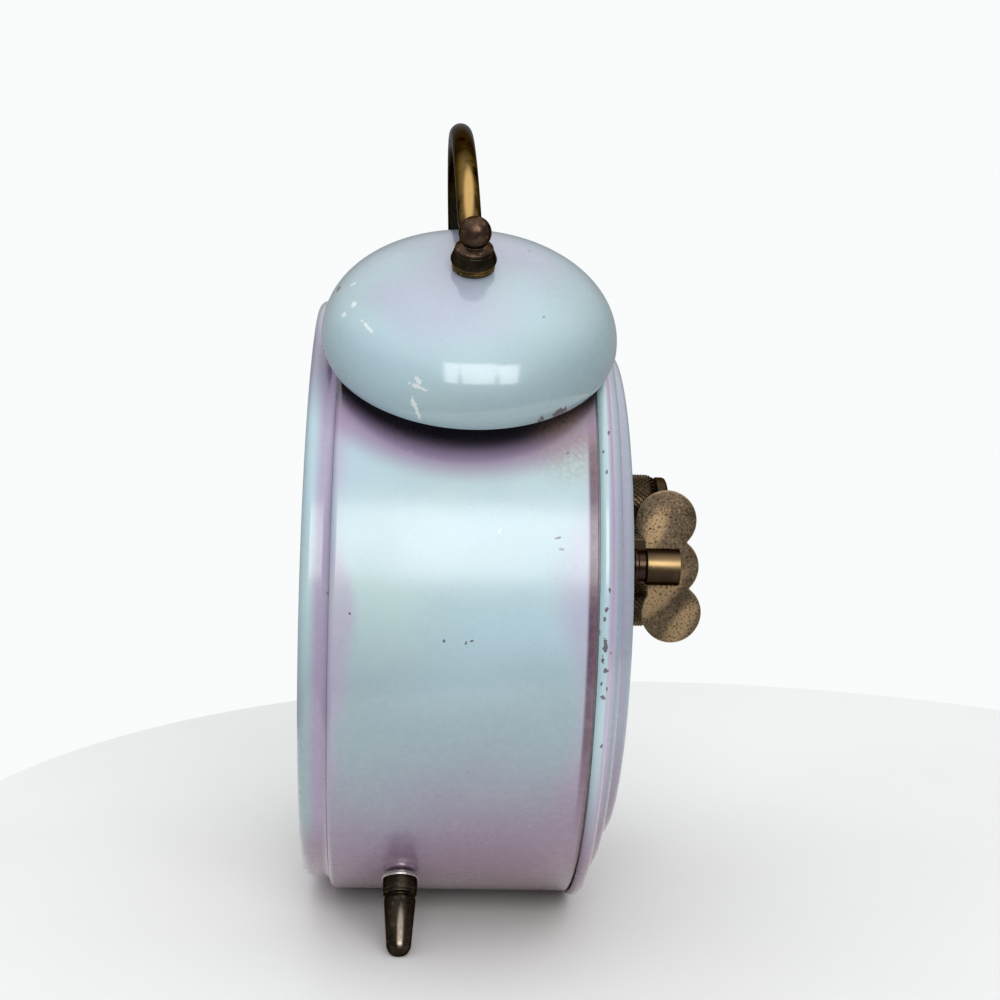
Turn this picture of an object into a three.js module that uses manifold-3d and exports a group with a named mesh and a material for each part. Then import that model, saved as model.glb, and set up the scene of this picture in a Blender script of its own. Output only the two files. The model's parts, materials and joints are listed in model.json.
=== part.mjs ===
// Hand-wound twin bell alarm clock in millimetres: Z up, dial facing -Y, origin of the working
// frame on the case axis at the middle of the drum. The exported group lifts the clock so that it
// stands on Z = 0 and centres its box on Y = 0. "Right" is the right of a person facing the dial.

import * as THREE from "three";
import { mergeVertices } from "three/addons/utils/BufferGeometryUtils.js";
import Module from "manifold-3d";

const wasm = await Module();
wasm.setup();

// Clearances: between pieces that seat on each other, and round pivots that turn
const seatGap = 0.3;
const pivotPlay = 0.3;

// Case: drum, bezel, crystal, dial and stepped back cover
const caseRadius = 55;
const caseLength = 42;
const caseSheet = 0.9;
const shoulderRadius = 1.6;
const frontLip = 6.5;
const bezelStep = 2;
const bezelDepth = 4.8;
const bezelLip = 6.2;
const crystalThickness = 1.1;
const crystalRise = 6;
const dialThickness = 0.6;
const flangeOverhang = 1;
const flangeWidth = 2.5;
const coverStepDepths = [2, 2.6];
const coverStepShare = 0.56;
const coverPillarGap = 0.8;
const coverDome = 1.3;
const coverSkirt = 4.8;
const roundSegments = 32;

// Bells, posts, handle and ball nuts, set out along a radius of the case
const bellAngle = 34;
const bellSetback = 0.5;
const bellLift = 1.2;
const bellRadius = 24.5;
const bellHeight = 14.4;
const bellFullness = 2.2;
const bellSheet = 0.9;
const postRadius = 2.6;
const studRadius = 1.4;
const bellWasherRadius = 3.5;
const bellWasherThickness = 1.1;
const handleRod = 2;
const handleRise = 28.7;
const handleLean = 1.2;
const handleForward = 0.5;
const handleEyeRadius = 3.4;
const handleEyeThickness = 1.5;
const handleTongue = 8.2;
const ballRadius = 2.65;
const ballRise = 3.05;
const nutBaseRadius = 3.1;

// Feet
const footAngle = 36.8;
const footSetback = -8.7;
const footRadius = 2.95;
const footTipRadius = 2.1;
const footWear = 0.35;
const footWasherRadius = 3.2;
const footWasherThickness = 1;

// Arbors that reach the outside, measured from the case axis
const windingSide = 22;
const windingHeight = 8.2;
const alarmSetHeight = 16.4;
const windingArborRadius = 1.8;
const settingArborRadius = 1.2;

// Winding keys and setting knobs
const keyStandOff = 0.1;
const keyBarrelRadius = 3.3;
const keyBarrelLength = 9.2;
const keyNeckRadius = 2.75;
const keyNeckLength = 1.6;
const keyBase = 2.8;
const keyLobeRadius = 5.3;
const keyLobeSpacing = 8.2;
const keyLobeReach = 7.5;
const keyPlate = 1;
const keyPlateTilt = 5;
const alarmKeyTurn = 84;
const knobStandOff = 0.9;
const knobLength = 8.9;
const alarmKnobRadius = 6.1;
const timeKnobRadius = 6.3;

// Movement frame
const motionSpace = 4.7;
const plateThickness = 1.2;
const plateReach = 23.52;
const backPlateInset = 2.4;
const pillarEdge = 6;
const pillarAngles = { top_right: 57.5, top_left: 122.5, bottom_left: 213, bottom_right: 327 };
const pillarRadius = 2.4;
const pillarNeck = 1.4;
const arborRadius = 1;
const pivotRadius = 0.75;
const wheelThickness = 1;
const toothTip = 0.55;
const toothRoot = 1.5;

// Going train: great wheel, centre, third, fourth and escape wheels, lever and balance
const greatTeeth = 36;
const centrePinionTeeth = 6;
const centreTeeth = 48;
const thirdTeeth = 45;
const fourthTeeth = 48;
const trainPinionTeeth = 6;
const centreModule = 0.56;
const thirdModule = 0.5;
const fourthModule = 0.44;
const thirdDirection = 230;
const fourthDirection = -35;
const escapeDirection = -60;
const escapeTeeth = 15;
const escapeRadius = 5;
const leverDirection = -20;
const leverDistance = 8;
const balanceDirection = -10;
const balanceDistance = 9;
const balanceRadius = 7.5;

// Front faces of the wheels, set back from the front plate, and of the springs from their wheels
const centreSetBack = 1.1;
const thirdSetBack = 4.1;
const fourthSetBack = 7.1;
const alarmGreatSetBack = 9.1;
const escapeSetBack = 10.9;
const timeGreatSetBack = 13.3;
const alarmEscapeSetBack = 13.5;
const balanceSetBack = 15.3;
const hairspringSetBack = 4;
const timeSpringSetBack = 4.2;
const alarmSpringSetBack = 5.2;

// Motion work behind the dial
const cannonTeeth = 6;
const minuteWheelTeeth = 18;
const minutePinionTeeth = 6;
const hourTeeth = 24;
const minuteDirection = -60;
const hourSetBack = 0.9;
const minuteSetBack = 1.9;
const minuteHandLength = 34;
const hourHandLength = 22;
const alarmHandLength = 8;
const handThickness = 0.5;
const minuteHandTurn = 60;
const hourHandTurn = 305;
const alarmHandTurn = 210;

// Alarm train, hammer and stop
const alarmGreatTeeth = 35;
const alarmPinionTeeth = 7;
const alarmGreatGap = 4;
const alarmEscapeDirection = 55;
const alarmEscapeTeeth = 10;
const alarmEscapeRadius = 6;
const hammerPivotHeight = 34;
const hammerHeadRise = 5.6;
const hammerHeadRadius = 2.8;
const hammerHeadHalf = 8.4;
const hammerRod = 1.1;
const hammerSwing = 6;
const stopSetback = 12;
const stopTravel = 3;
const stopRod = 1.2;

// Springs
const mainspringTurns = 3;
const mainspringOuter = 15.5;
const mainspringWidth = 11;
const mainspringStrip = 0.5;
const hairspringTurns = 3;
const hairspringOuter = 5;

const radians = THREE.MathUtils.degToRad;

// Levels along Y that follow from the sizes above
const caseFront = -caseLength / 2;
const caseBack = caseLength / 2;
const flangeRadius = caseRadius + flangeOverhang;
const bezelRadius = caseRadius - bezelStep;
const dialOpening = caseRadius - frontLip;
const handleTop = caseRadius + handleRise;
const hammerHeadHeight = caseRadius + hammerHeadRise;
const standHeight = flangeRadius * Math.cos(Math.PI / roundSegments);
const dialFront = caseFront + caseSheet + seatGap;
const dialBack = dialFront + dialThickness;
const frontPlateFront = dialBack + motionSpace;
const frontPlateBack = frontPlateFront + plateThickness;
const backPlateFront = caseBack - backPlateInset;
const backPlateBack = backPlateFront + plateThickness;
const flangeBack = caseBack + flangeWidth;
const coverStepOne = flangeBack + coverStepDepths[0];
const coverStepTwo = coverStepOne + coverStepDepths[1];
const coverFace = coverStepTwo + coverDome;
const crystalRim = caseFront - seatGap;
const crystalRadius = bezelRadius - 3.6;
const bezelFront = caseFront - bezelDepth;

// Arbor positions in the X-Z plane
const toward = (from, distance, degrees) =>
  new THREE.Vector2(Math.cos(radians(degrees)), Math.sin(radians(degrees)))
    .multiplyScalar(distance)
    .add(from);
const centreArbor = new THREE.Vector2(0, 0);
const timeArbor = new THREE.Vector2(windingSide, windingHeight);
const alarmArbor = new THREE.Vector2(-windingSide, windingHeight);
const alarmSetArbor = new THREE.Vector2(0, alarmSetHeight);
const plateRadius = timeArbor.length() + plateReach;
const pillarCircle = plateRadius - pillarEdge;
const greatModule = (2 * timeArbor.length()) / (greatTeeth + centrePinionTeeth);
const alarmModule =
  (2 * (alarmArbor.length() - alarmGreatGap)) / (alarmGreatTeeth + 2 * toothTip);
const pairDistance = (wheel, pinion, module) => (module * (wheel + pinion)) / 2;
const thirdArbor = toward(
  centreArbor,
  pairDistance(centreTeeth, trainPinionTeeth, centreModule),
  thirdDirection,
);
const fourthArbor = toward(
  thirdArbor,
  pairDistance(thirdTeeth, trainPinionTeeth, thirdModule),
  fourthDirection,
);
const escapeArbor = toward(
  fourthArbor,
  pairDistance(fourthTeeth, trainPinionTeeth, fourthModule),
  escapeDirection,
);
const leverArbor = toward(escapeArbor, leverDistance, leverDirection);
const balanceArbor = toward(leverArbor, balanceDistance, balanceDirection);
const hourModule = alarmSetHeight / hourTeeth;
const minuteDistance = pairDistance(hourTeeth, minutePinionTeeth, hourModule);
const minuteModule = (2 * minuteDistance) / (minuteWheelTeeth + cannonTeeth);
const minuteArbor = toward(centreArbor, minuteDistance, minuteDirection);
const alarmEscapeArbor = toward(
  alarmArbor,
  pairDistance(alarmGreatTeeth, alarmPinionTeeth, alarmModule),
  alarmEscapeDirection,
);
const hammerArbor = new THREE.Vector2(0, hammerPivotHeight);
const pillars = Object.fromEntries(
  Object.entries(pillarAngles).map(([name, angle]) => [
    name,
    toward(centreArbor, pillarCircle, angle),
  ]),
);

// Wheel levels: the front face of each wheel and spring
const centreLevel = frontPlateBack + centreSetBack;
const thirdLevel = frontPlateBack + thirdSetBack;
const fourthLevel = frontPlateBack + fourthSetBack;
const alarmGreatLevel = frontPlateBack + alarmGreatSetBack;
const escapeLevel = frontPlateBack + escapeSetBack;
const timeGreatLevel = frontPlateBack + timeGreatSetBack;
const alarmEscapeLevel = frontPlateBack + alarmEscapeSetBack;
const balanceLevel = frontPlateBack + balanceSetBack;
const hairspringLevel = balanceLevel + hairspringSetBack;
const timeSpringLevel = timeGreatLevel + timeSpringSetBack;
const alarmSpringLevel = alarmGreatLevel + alarmSpringSetBack;
const hourLevel = dialBack + hourSetBack;
const minuteLevel = hourLevel + minuteSetBack;

// Materials
const finish = (color, roughness, metalness) =>
  new THREE.MeshStandardMaterial({ color, roughness, metalness });
const paint = finish(0xb4bcd2, 0.38, 0.15);
const agedBrass = finish(0x8a7150, 0.42, 0.9);
const keyBronze = finish(0x8f7a5e, 0.5, 0.85);
const knobBronze = finish(0x5d5040, 0.5, 0.8);
const brightSteel = finish(0xc9c8c4, 0.3, 0.9);
const brass = finish(0xb89a58, 0.35, 0.9);
const springSteel = finish(0x5a6070, 0.35, 0.9);
const glass = finish(0xe8eef0, 0.05, 0);
const dialPaper = finish(0xf1efe6, 0.7, 0);
const handBlack = finish(0x16161a, 0.4, 0.4);
const alarmRed = finish(0x9a2a24, 0.45, 0.2);

// A closed geometry as a solid whose faces point out
function solidFrom(geometry) {
  const bare = geometry.clone();
  bare.deleteAttribute("normal");
  bare.deleteAttribute("uv");
  const merged = mergeVertices(bare, 1e-4);
  const corners = merged.index.array;
  const kept = [];
  for (let i = 0; i < corners.length; i += 3) {
    const [a, b, c] = [corners[i], corners[i + 1], corners[i + 2]];
    if (a !== b && b !== c && c !== a) kept.push(a, b, c);
  }
  const build = (triangles) =>
    new wasm.Manifold(
      new wasm.Mesh({
        numProp: 3,
        vertProperties: new Float32Array(merged.attributes.position.array),
        triVerts: new Uint32Array(triangles),
      }),
    );
  const solid = build(kept);
  return solid.volume() > 0 ? solid : build(kept.reverse());
}

function geometryFrom(solid) {
  const { vertProperties, triVerts } = solid.getMesh();
  const geometry = new THREE.BufferGeometry();
  geometry.setAttribute("position", new THREE.BufferAttribute(vertProperties, 3));
  geometry.setIndex(new THREE.BufferAttribute(triVerts, 1));
  geometry.computeVertexNormals();
  return geometry;
}

const joined = (first, ...others) => others.reduce((whole, piece) => whole.add(piece), first);
const cutBy = (first, ...tools) => tools.reduce((rest, tool) => rest.subtract(tool), first);

// A turned piece about Y from a profile of [radius, y] that closes on itself or on the axis
function turnedGeometry(profile, segments, phase = 0) {
  const points = profile.map(([radius, y]) => new THREE.Vector2(radius, y));
  const onAxis = points[0].x === 0 && points.at(-1).x === 0;
  if (!onAxis) points.push(points[0].clone());
  return new THREE.LatheGeometry(points, segments, phase, 2 * Math.PI);
}
const turned = (profile, segments = 12, phase = 0) =>
  solidFrom(turnedGeometry(profile, segments, phase));

// A turned piece about the radius of the case at an angle from vertical, at a level along Y
function turnedOnRadius(profile, angle, level, segments = 14) {
  const geometry = turnedGeometry(profile, segments);
  geometry.rotateX(Math.PI / 2);
  geometry.rotateY(radians(angle));
  geometry.translate(0, level, 0);
  return solidFrom(geometry);
}

const rodProfile = (radius, from, to) => [[0, from], [radius, from], [radius, to], [0, to]];
const ringProfile = (inner, outer, from, to) => [
  [inner, from],
  [outer, from],
  [outer, to],
  [inner, to],
];
const rod = (radius, from, to, segments = 8) => turned(rodProfile(radius, from, to), segments);
const rodAt = (point, radius, from, to, segments = 8) => {
  const geometry = turnedGeometry(rodProfile(radius, from, to), segments);
  geometry.translate(point.x, 0, point.y);
  return solidFrom(geometry);
};

// A flat piece with its outline in the X-Z plane, between two levels along Y
function flat(shape, from, to, curveSegments = 4) {
  const geometry = new THREE.ExtrudeGeometry(shape, {
    depth: to - from,
    bevelEnabled: false,
    curveSegments,
  });
  geometry.rotateX(Math.PI / 2);
  geometry.translate(0, to, 0);
  return solidFrom(geometry);
}

// A straight flat bar between two points of the X-Z plane
function bar(start, end, width, from, to) {
  const side = new THREE.Vector2(start.y - end.y, end.x - start.x).setLength(width / 2);
  const corners = [
    start.clone().add(side),
    end.clone().add(side),
    end.clone().sub(side),
    start.clone().sub(side),
  ];
  return flat(new THREE.Shape(corners), from, to);
}

// A toothed outline with one tooth centred on a direction: lean pointed teeth between deep roots,
// so that a pair runs with backlash at every angle
function toothed(teeth, module, direction) {
  const points = [];
  for (let i = 0; i < teeth; i += 1) {
    const turn = direction + (360 * i) / teeth;
    points.push(toward(centreArbor, module * (teeth / 2 - toothRoot), turn - 180 / teeth));
    points.push(toward(centreArbor, module * (teeth / 2 + toothTip), turn));
  }
  return new THREE.Shape(points);
}

// A pinion keeps a gap between its leaves on the line to the wheel that drives it
const pinion = (teeth, module, direction, from, to) =>
  flat(toothed(teeth, module, direction + 180 / teeth), from, to);
const wheel = (teeth, module, direction, level) =>
  flat(toothed(teeth, module, direction), level, level + wheelThickness);
const directionTo = (from, to) =>
  THREE.MathUtils.radToDeg(Math.atan2(to.y - from.y, to.x - from.x));

// An arbor between the two plates with a pivot in each
const plateArbor = () =>
  turned([
    [0, frontPlateFront],
    [pivotRadius, frontPlateFront],
    [pivotRadius, frontPlateBack + seatGap],
    [arborRadius, frontPlateBack + seatGap],
    [arborRadius, backPlateFront - seatGap],
    [pivotRadius, backPlateFront - seatGap],
    [pivotRadius, backPlateBack],
    [0, backPlateBack],
  ], 6);

// Drum: drawn sheet with a rounded front shoulder and a flange turned in behind the bezel
function caseDrum() {
  const inner = caseRadius - caseSheet;
  const shell = turned([
    [caseRadius, caseBack],
    [caseRadius, caseFront + shoulderRadius],
    [caseRadius - 0.3 * shoulderRadius, caseFront + 0.3 * shoulderRadius],
    [caseRadius - shoulderRadius, caseFront],
    [dialOpening, caseFront],
    [dialOpening, caseFront + caseSheet],
    [inner - shoulderRadius, caseFront + caseSheet],
    [inner, caseFront + shoulderRadius + caseSheet],
    [inner, caseBack],
  ], roundSegments, Math.PI / roundSegments);
  const hole = (angle, level, radius) =>
    turnedOnRadius(rodProfile(radius, caseRadius - 4, caseRadius + 4), angle, level, 8);
  const slotHalf = hammerRod + 1.2
    + (caseRadius - hammerPivotHeight) * Math.sin(radians(hammerSwing));
  const slot = new THREE.BoxGeometry(2 * slotHalf, 2 * (hammerRod + 1.2), 10);
  slot.translate(0, 0, caseRadius);
  return cutBy(
    shell,
    hole(bellAngle, bellSetback, studRadius + seatGap),
    hole(-bellAngle, bellSetback, studRadius + seatGap),
    hole(180 - footAngle, footSetback, studRadius + seatGap),
    hole(footAngle - 180, footSetback, studRadius + seatGap),
    hole(0, stopSetback, stopRod + pivotPlay),
    solidFrom(slot),
  );
}

// Bezel: ring with an eased front edge and a lip over the edge of the crystal
function frontBezel() {
  const lipInner = bezelRadius - bezelLip;
  const lipBack = crystalRim - crystalThickness - seatGap;
  const ease = 0.28 * bezelDepth;
  return turned([
    [bezelRadius, crystalRim],
    [bezelRadius, bezelFront + ease],
    [bezelRadius - ease, bezelFront],
    [lipInner + 2, bezelFront],
    [lipInner, lipBack],
    [crystalRadius + seatGap, lipBack],
    [crystalRadius + seatGap, crystalRim],
  ], roundSegments);
}

// Crystal: domed glass with a flat rim held under the bezel's lip
function crystal() {
  const domeRadius = bezelRadius - bezelLip - seatGap;
  const rings = [0, 0.5, 1];
  const face = (back, radius, share) => [
    radius * share,
    back - crystalRise * (1 - share * share),
  ];
  const outer = rings.map((share) => face(crystalRim - crystalThickness, domeRadius, share));
  const inner = rings.map((share) => face(crystalRim, domeRadius - 0.5, share));
  return turned([
    ...outer,
    [crystalRadius, crystalRim - crystalThickness],
    [crystalRadius, crystalRim],
    ...inner.reverse(),
  ], 28);
}

function dialPlate() {
  const disc = new THREE.Shape();
  disc.absarc(0, 0, caseRadius - caseSheet - shoulderRadius, 0, 2 * Math.PI);
  return cutBy(
    flat(disc, dialFront, dialBack, 18),
    rodAt(centreArbor, hourPipe.outer + pivotPlay, dialFront - 1, dialBack + 1, 10),
    rodAt(alarmSetArbor, settingArborRadius + pivotPlay, dialFront - 1, dialBack + 1),
  );
}

// Back cover: bead that meets the drum, two drawn steps, a shallow dome and a skirt in the drum
function backCover() {
  const stepTwo = pillarCircle + pillarRadius + coverPillarGap + caseSheet;
  const stepOne = stepTwo + coverStepShare * (flangeRadius - stepTwo);
  const ease = 0.8;
  const skirtOuter = caseRadius - caseSheet - seatGap;
  const skirtInner = skirtOuter - 0.8;
  const sheet = caseSheet;
  const shell = turned([
    [0, coverFace],
    [0.66 * stepTwo, coverStepTwo + 0.55 * coverDome],
    [stepTwo - 0.3 * ease, coverStepTwo - 0.2 * ease],
    [stepTwo + 0.3, coverStepOne],
    [stepOne - 0.3 * ease, coverStepOne - 0.2 * ease],
    [stepOne + 0.3, flangeBack],
    [flangeRadius - ease, flangeBack],
    [flangeRadius, flangeBack - ease],
    [flangeRadius, caseBack + seatGap],
    [skirtOuter, caseBack + seatGap],
    [skirtOuter, caseBack - coverSkirt],
    [skirtInner, caseBack - coverSkirt],
    [skirtInner, flangeBack - sheet],
    [stepTwo - sheet, flangeBack - sheet],
    [stepTwo - sheet, coverStepTwo - sheet],
    [0, coverFace - sheet],
  ], roundSegments, Math.PI / roundSegments);
  const hole = (point, radius) => rodAt(point, radius, caseBack, coverFace + 2, 8);
  return cutBy(
    shell,
    hole(timeArbor, windingArborRadius + 2 * pivotPlay),
    hole(alarmArbor, windingArborRadius + 2 * pivotPlay),
    hole(centreArbor, settingArborRadius + 2 * pivotPlay),
    hole(alarmSetArbor, settingArborRadius + 2 * pivotPlay),
  );
}

// Bell furniture along its radius, from the case axis outward
const bellRim = caseRadius + bellLift;
const bellApex = bellRim + bellHeight;
const washerBase = bellApex + seatGap;
const eyeBase = washerBase + bellWasherThickness + seatGap;
const nutBase = eyeBase + handleEyeThickness + seatGap;
const ballCentre = nutBase + ballRise;
const threadRadius = studRadius - 0.25;

// Bell: full dome of even sheet with a straight lip and a hole for its stud
function bell(angle) {
  const dome = (radius, height, share) => {
    const turn = share * Math.PI / 2;
    const power = 2 / bellFullness;
    return [
      radius * Math.cos(turn) ** power,
      bellRim + 1.2 + (height - 1.2) * Math.sin(turn) ** power,
    ];
  };
  const shares = [0, 0.2, 0.42, 0.64, 0.85];
  const bore = studRadius + seatGap;
  const outer = shares.map((share) => dome(bellRadius, bellHeight, share));
  const inner = shares.map((share) =>
    dome(bellRadius - bellSheet, bellHeight - bellSheet, share));
  return turnedOnRadius([
    [bellRadius - 0.3, bellRim],
    ...outer,
    [bore, bellApex - 0.02],
    [bore, bellApex - bellSheet],
    ...inner.reverse(),
    [bellRadius - bellSheet - 0.3, bellRim],
  ], angle, bellSetback, 24);
}

// Post: riveted head inside the drum, spacer under the bell, stud with a thinner threaded end
function bellPost(angle) {
  const wall = caseRadius - caseSheet;
  const shoulder = bellApex - bellSheet - seatGap;
  return turnedOnRadius([
    [0, wall - 1.9],
    [postRadius, wall - 1.9],
    [postRadius, wall - 0.5],
    [studRadius, wall - 0.5],
    [studRadius, caseRadius + seatGap],
    [postRadius, caseRadius + seatGap],
    [postRadius, shoulder],
    [studRadius, shoulder],
    [studRadius, nutBase - 0.2],
    [threadRadius, nutBase - 0.2],
    [threadRadius, nutBase + 1.8],
    [0, nutBase + 1.8],
  ], angle, bellSetback, 8);
}

const bellWasher = (angle) =>
  turnedOnRadius([
    [studRadius + seatGap, washerBase],
    [bellWasherRadius, washerBase],
    [bellWasherRadius, washerBase + 0.7 * bellWasherThickness],
    [bellWasherRadius - 0.3, washerBase + bellWasherThickness],
    [studRadius + seatGap, washerBase + bellWasherThickness],
  ], angle, bellSetback, 12);

// Ball nut: flared base, waist and ball on one axis, with a blind thread hole
function ballNut(angle) {
  const bore = threadRadius + seatGap;
  const boreEnd = nutBase + 2.1;
  const waist = 0.72 * ballRadius;
  const ball = [0.24, 0.4, 0.55, 0.7, 0.85].map((share) => [
    ballRadius * Math.sin(share * Math.PI),
    ballCentre - ballRadius * Math.cos(share * Math.PI),
  ]);
  return turnedOnRadius([
    [0, boreEnd],
    [bore, boreEnd],
    [bore, nutBase],
    [nutBaseRadius, nutBase],
    [nutBaseRadius, nutBase + 0.35],
    [waist, nutBase + 0.9],
    ...ball,
    [0, ballCentre + ballRadius],
  ], angle, bellSetback, 10);
}

// Handle: round rod bent to an arc that leans towards the dial, its ends hammered flat into eyes
// under the ball nuts
function handle() {
  const eyeMiddle = eyeBase + handleEyeThickness / 2;
  const lean = radians(bellAngle);
  const endX = eyeMiddle * Math.sin(lean) - handleTongue * Math.cos(lean);
  const endZ = eyeMiddle * Math.cos(lean) + handleTongue * Math.sin(lean);
  const rise = handleTop - endZ;
  const arcRadius = (endX * endX + rise * rise) / (2 * rise);
  const arcCentre = handleTop - arcRadius;
  const half = Math.atan2(endX, endZ - arcCentre);
  const stations = Array.from({ length: 13 }, (_, i) => half - (2 * half * i) / 12);
  const path = new THREE.CatmullRomCurve3(
    stations.map((turn) => {
      const height = arcCentre + arcRadius * Math.cos(turn);
      const level = bellSetback - handleForward - (handleLean * (height - endZ)) / rise;
      return new THREE.Vector3(arcRadius * Math.sin(turn), level, height);
    }),
  );
  const section = new THREE.Shape();
  section.absarc(0, 0, handleRod, 0, 2 * Math.PI);
  const arc = solidFrom(
    new THREE.ExtrudeGeometry(section, { steps: 16, curveSegments: 4, extrudePath: path }),
  );
  const end = (side) => {
    const tongue = new THREE.Shape();
    const reach = handleTongue + 1.2;
    tongue.moveTo(-reach, handleRod * 0.9);
    tongue.lineTo(-2, handleEyeRadius * 0.82);
    tongue.absarc(0, 0, handleEyeRadius, radians(124), radians(-124), true);
    tongue.lineTo(-reach, -handleRod * 0.9);
    const geometry = new THREE.ExtrudeGeometry(tongue, {
      depth: handleEyeThickness,
      bevelEnabled: false,
      curveSegments: 4,
    });
    if (side < 0) geometry.rotateZ(Math.PI);
    geometry.translate(0, bellSetback, eyeBase);
    geometry.rotateY(side * lean);
    return solidFrom(geometry);
  };
  const bore = (angle) =>
    turnedOnRadius(rodProfile(studRadius + seatGap, bellApex, nutBase), angle, bellSetback, 10);
  return cutBy(joined(arc, end(1), end(-1)), bore(bellAngle), bore(-bellAngle));
}

// Foot: riveted stud, short collar and tapered peg, worn flat where it stands
function foot(angle) {
  const wall = caseRadius - caseSheet;
  const top = caseRadius + seatGap + footWasherThickness + seatGap;
  const tipCentre = (standHeight + footWear - footTipRadius) / Math.cos(radians(footAngle));
  const cap = [0, 0.35, 0.7].map((share) => [
    footTipRadius * Math.cos(share * Math.PI / 2),
    tipCentre + footTipRadius * Math.sin(share * Math.PI / 2),
  ]);
  const peg = turnedOnRadius([
    [0, wall - 1.8],
    [2.4, wall - 1.8],
    [2.4, wall - 0.5],
    [studRadius, wall - 0.5],
    [studRadius, top],
    [footRadius, top],
    [footRadius, top + 2.5],
    ...cap,
    [0, tipCentre + footTipRadius],
  ], angle, footSetback, 10);
  const floor = new THREE.BoxGeometry(4 * caseRadius, 4 * caseRadius, 20);
  floor.translate(0, 0, -standHeight - 10);
  return cutBy(peg, solidFrom(floor));
}

const footWasher = (angle) =>
  turnedOnRadius(
    ringProfile(
      studRadius + seatGap,
      footWasherRadius,
      caseRadius + seatGap,
      caseRadius + seatGap + footWasherThickness,
    ),
    angle,
    footSetback,
    12,
  );

// Movement plate: round sheet bored for every arbor and pillar that passes it
function plate(from, to, openings) {
  const disc = new THREE.Shape();
  disc.absarc(0, 0, plateRadius, 0, 2 * Math.PI);
  const bores = openings.map(([point, radius]) =>
    rodAt(point, radius / Math.cos(Math.PI / 6), from - 1, to + 1, 6));
  return cutBy(flat(disc, from, to, 10), ...bores);
}
const pivotHoles = [
  thirdArbor,
  fourthArbor,
  escapeArbor,
  leverArbor,
  balanceArbor,
  alarmEscapeArbor,
  hammerArbor,
].map((point) => [point, pivotRadius + pivotPlay]);
const pillarHoles = Object.values(pillars).map((point) => [point, pillarNeck + seatGap + 0.1]);
const settingHoles = [
  [centreArbor, settingArborRadius + pivotPlay + 0.1],
  [alarmSetArbor, settingArborRadius + pivotPlay + 0.1],
];
const windingHoles = [timeArbor, alarmArbor].map((point) => [
  point,
  windingArborRadius + pivotPlay + 0.15,
]);
const frontPlate = () =>
  plate(frontPlateFront, frontPlateBack, [
    ...pivotHoles,
    ...pillarHoles,
    ...settingHoles,
    ...windingHoles,
    [minuteArbor, pivotRadius + pivotPlay],
  ]);
const backPlate = () =>
  plate(backPlateFront, backPlateBack, [
    ...pivotHoles,
    ...pillarHoles,
    ...settingHoles,
    ...windingHoles,
  ]);

// Pillar: spaces the plates and is clamped between the dial and the back cover
const pillar = () =>
  turned([
    [0, dialBack + seatGap],
    [pillarRadius - 0.3, dialBack + seatGap],
    [pillarRadius - 0.3, frontPlateFront - seatGap],
    [pillarNeck, frontPlateFront - seatGap],
    [pillarNeck, frontPlateBack + seatGap],
    [pillarRadius, frontPlateBack + seatGap],
    [pillarRadius, backPlateFront - seatGap],
    [pillarNeck, backPlateFront - seatGap],
    [pillarNeck, backPlateBack + seatGap],
    [pillarRadius - 0.3, backPlateBack + seatGap],
    [pillarRadius - 0.3, coverStepTwo - caseSheet - seatGap],
    [0, coverStepTwo - caseSheet - seatGap],
  ], 6);

// Winding arbor: spring hub, ratchet and a thinner front pivot, running out to its key
function windingArbor(springLevel, ratchetLevel) {
  const shaft = turned([
    [0, frontPlateFront],
    [windingArborRadius, frontPlateFront],
    [windingArborRadius, springLevel],
    [windingArborRadius + 0.7, springLevel],
    [windingArborRadius + 0.7, springLevel + mainspringWidth],
    [windingArborRadius, springLevel + mainspringWidth],
    [windingArborRadius, keyStart + keyBase - 0.6],
    [0, keyStart + keyBase - 0.6],
  ], 8);
  const ratchet = new THREE.Shape();
  for (let i = 0; i < 12; i += 1) {
    const turn = (2 * Math.PI * i) / 12;
    ratchet.lineTo(5 * Math.cos(turn), 5 * Math.sin(turn));
    ratchet.lineTo(4 * Math.cos(turn + 0.08), 4 * Math.sin(turn + 0.08));
  }
  return joined(shaft, flat(ratchet, ratchetLevel, ratchetLevel + wheelThickness));
}

// Click: pivots on the great wheel and rides on the ratchet's tooth tips
function click(level) {
  const pin = new THREE.Vector2(0, 8.4);
  const nose = new THREE.Vector2(5.2, 2.7);
  return joined(
    rodAt(pin, 1.3, level, level + wheelThickness),
    bar(pin, nose, 1.2, level, level + wheelThickness),
  );
}

// Mainspring: flat strip wound from the arbor's hub outward, its end led to a pillar
function spiralStrip(inner, outer, turns, strip, endDirection, steps) {
  const edge = (offset) =>
    Array.from({ length: steps + 1 }, (_, i) => {
      const share = i / steps;
      const radius = inner + (outer - inner) * share + offset;
      const angle = radians(endDirection) - 2 * Math.PI * turns * (1 - share);
      return new THREE.Vector2(radius * Math.cos(angle), radius * Math.sin(angle));
    });
  return new THREE.Shape([...edge(0), ...edge(strip).reverse()]);
}
function mainspring(arbor, post, level) {
  const direction = directionTo(arbor, post);
  const hub = windingArborRadius + 0.7 + seatGap;
  const shape = spiralStrip(
    hub, mainspringOuter, mainspringTurns, mainspringStrip, direction, 8 * mainspringTurns,
  );
  const reach = arbor.distanceTo(post) - pillarRadius - seatGap;
  const tail = bar(
    toward(centreArbor, mainspringOuter, direction),
    toward(centreArbor, reach, direction),
    mainspringStrip,
    level,
    level + mainspringWidth,
  );
  return joined(flat(shape, level, level + mainspringWidth), tail);
}
const hairspring = () =>
  flat(
    spiralStrip(1.6, hairspringOuter, hairspringTurns, 0.3, 90, 6 * hairspringTurns),
    hairspringLevel,
    hairspringLevel + 0.8,
  );

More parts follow.
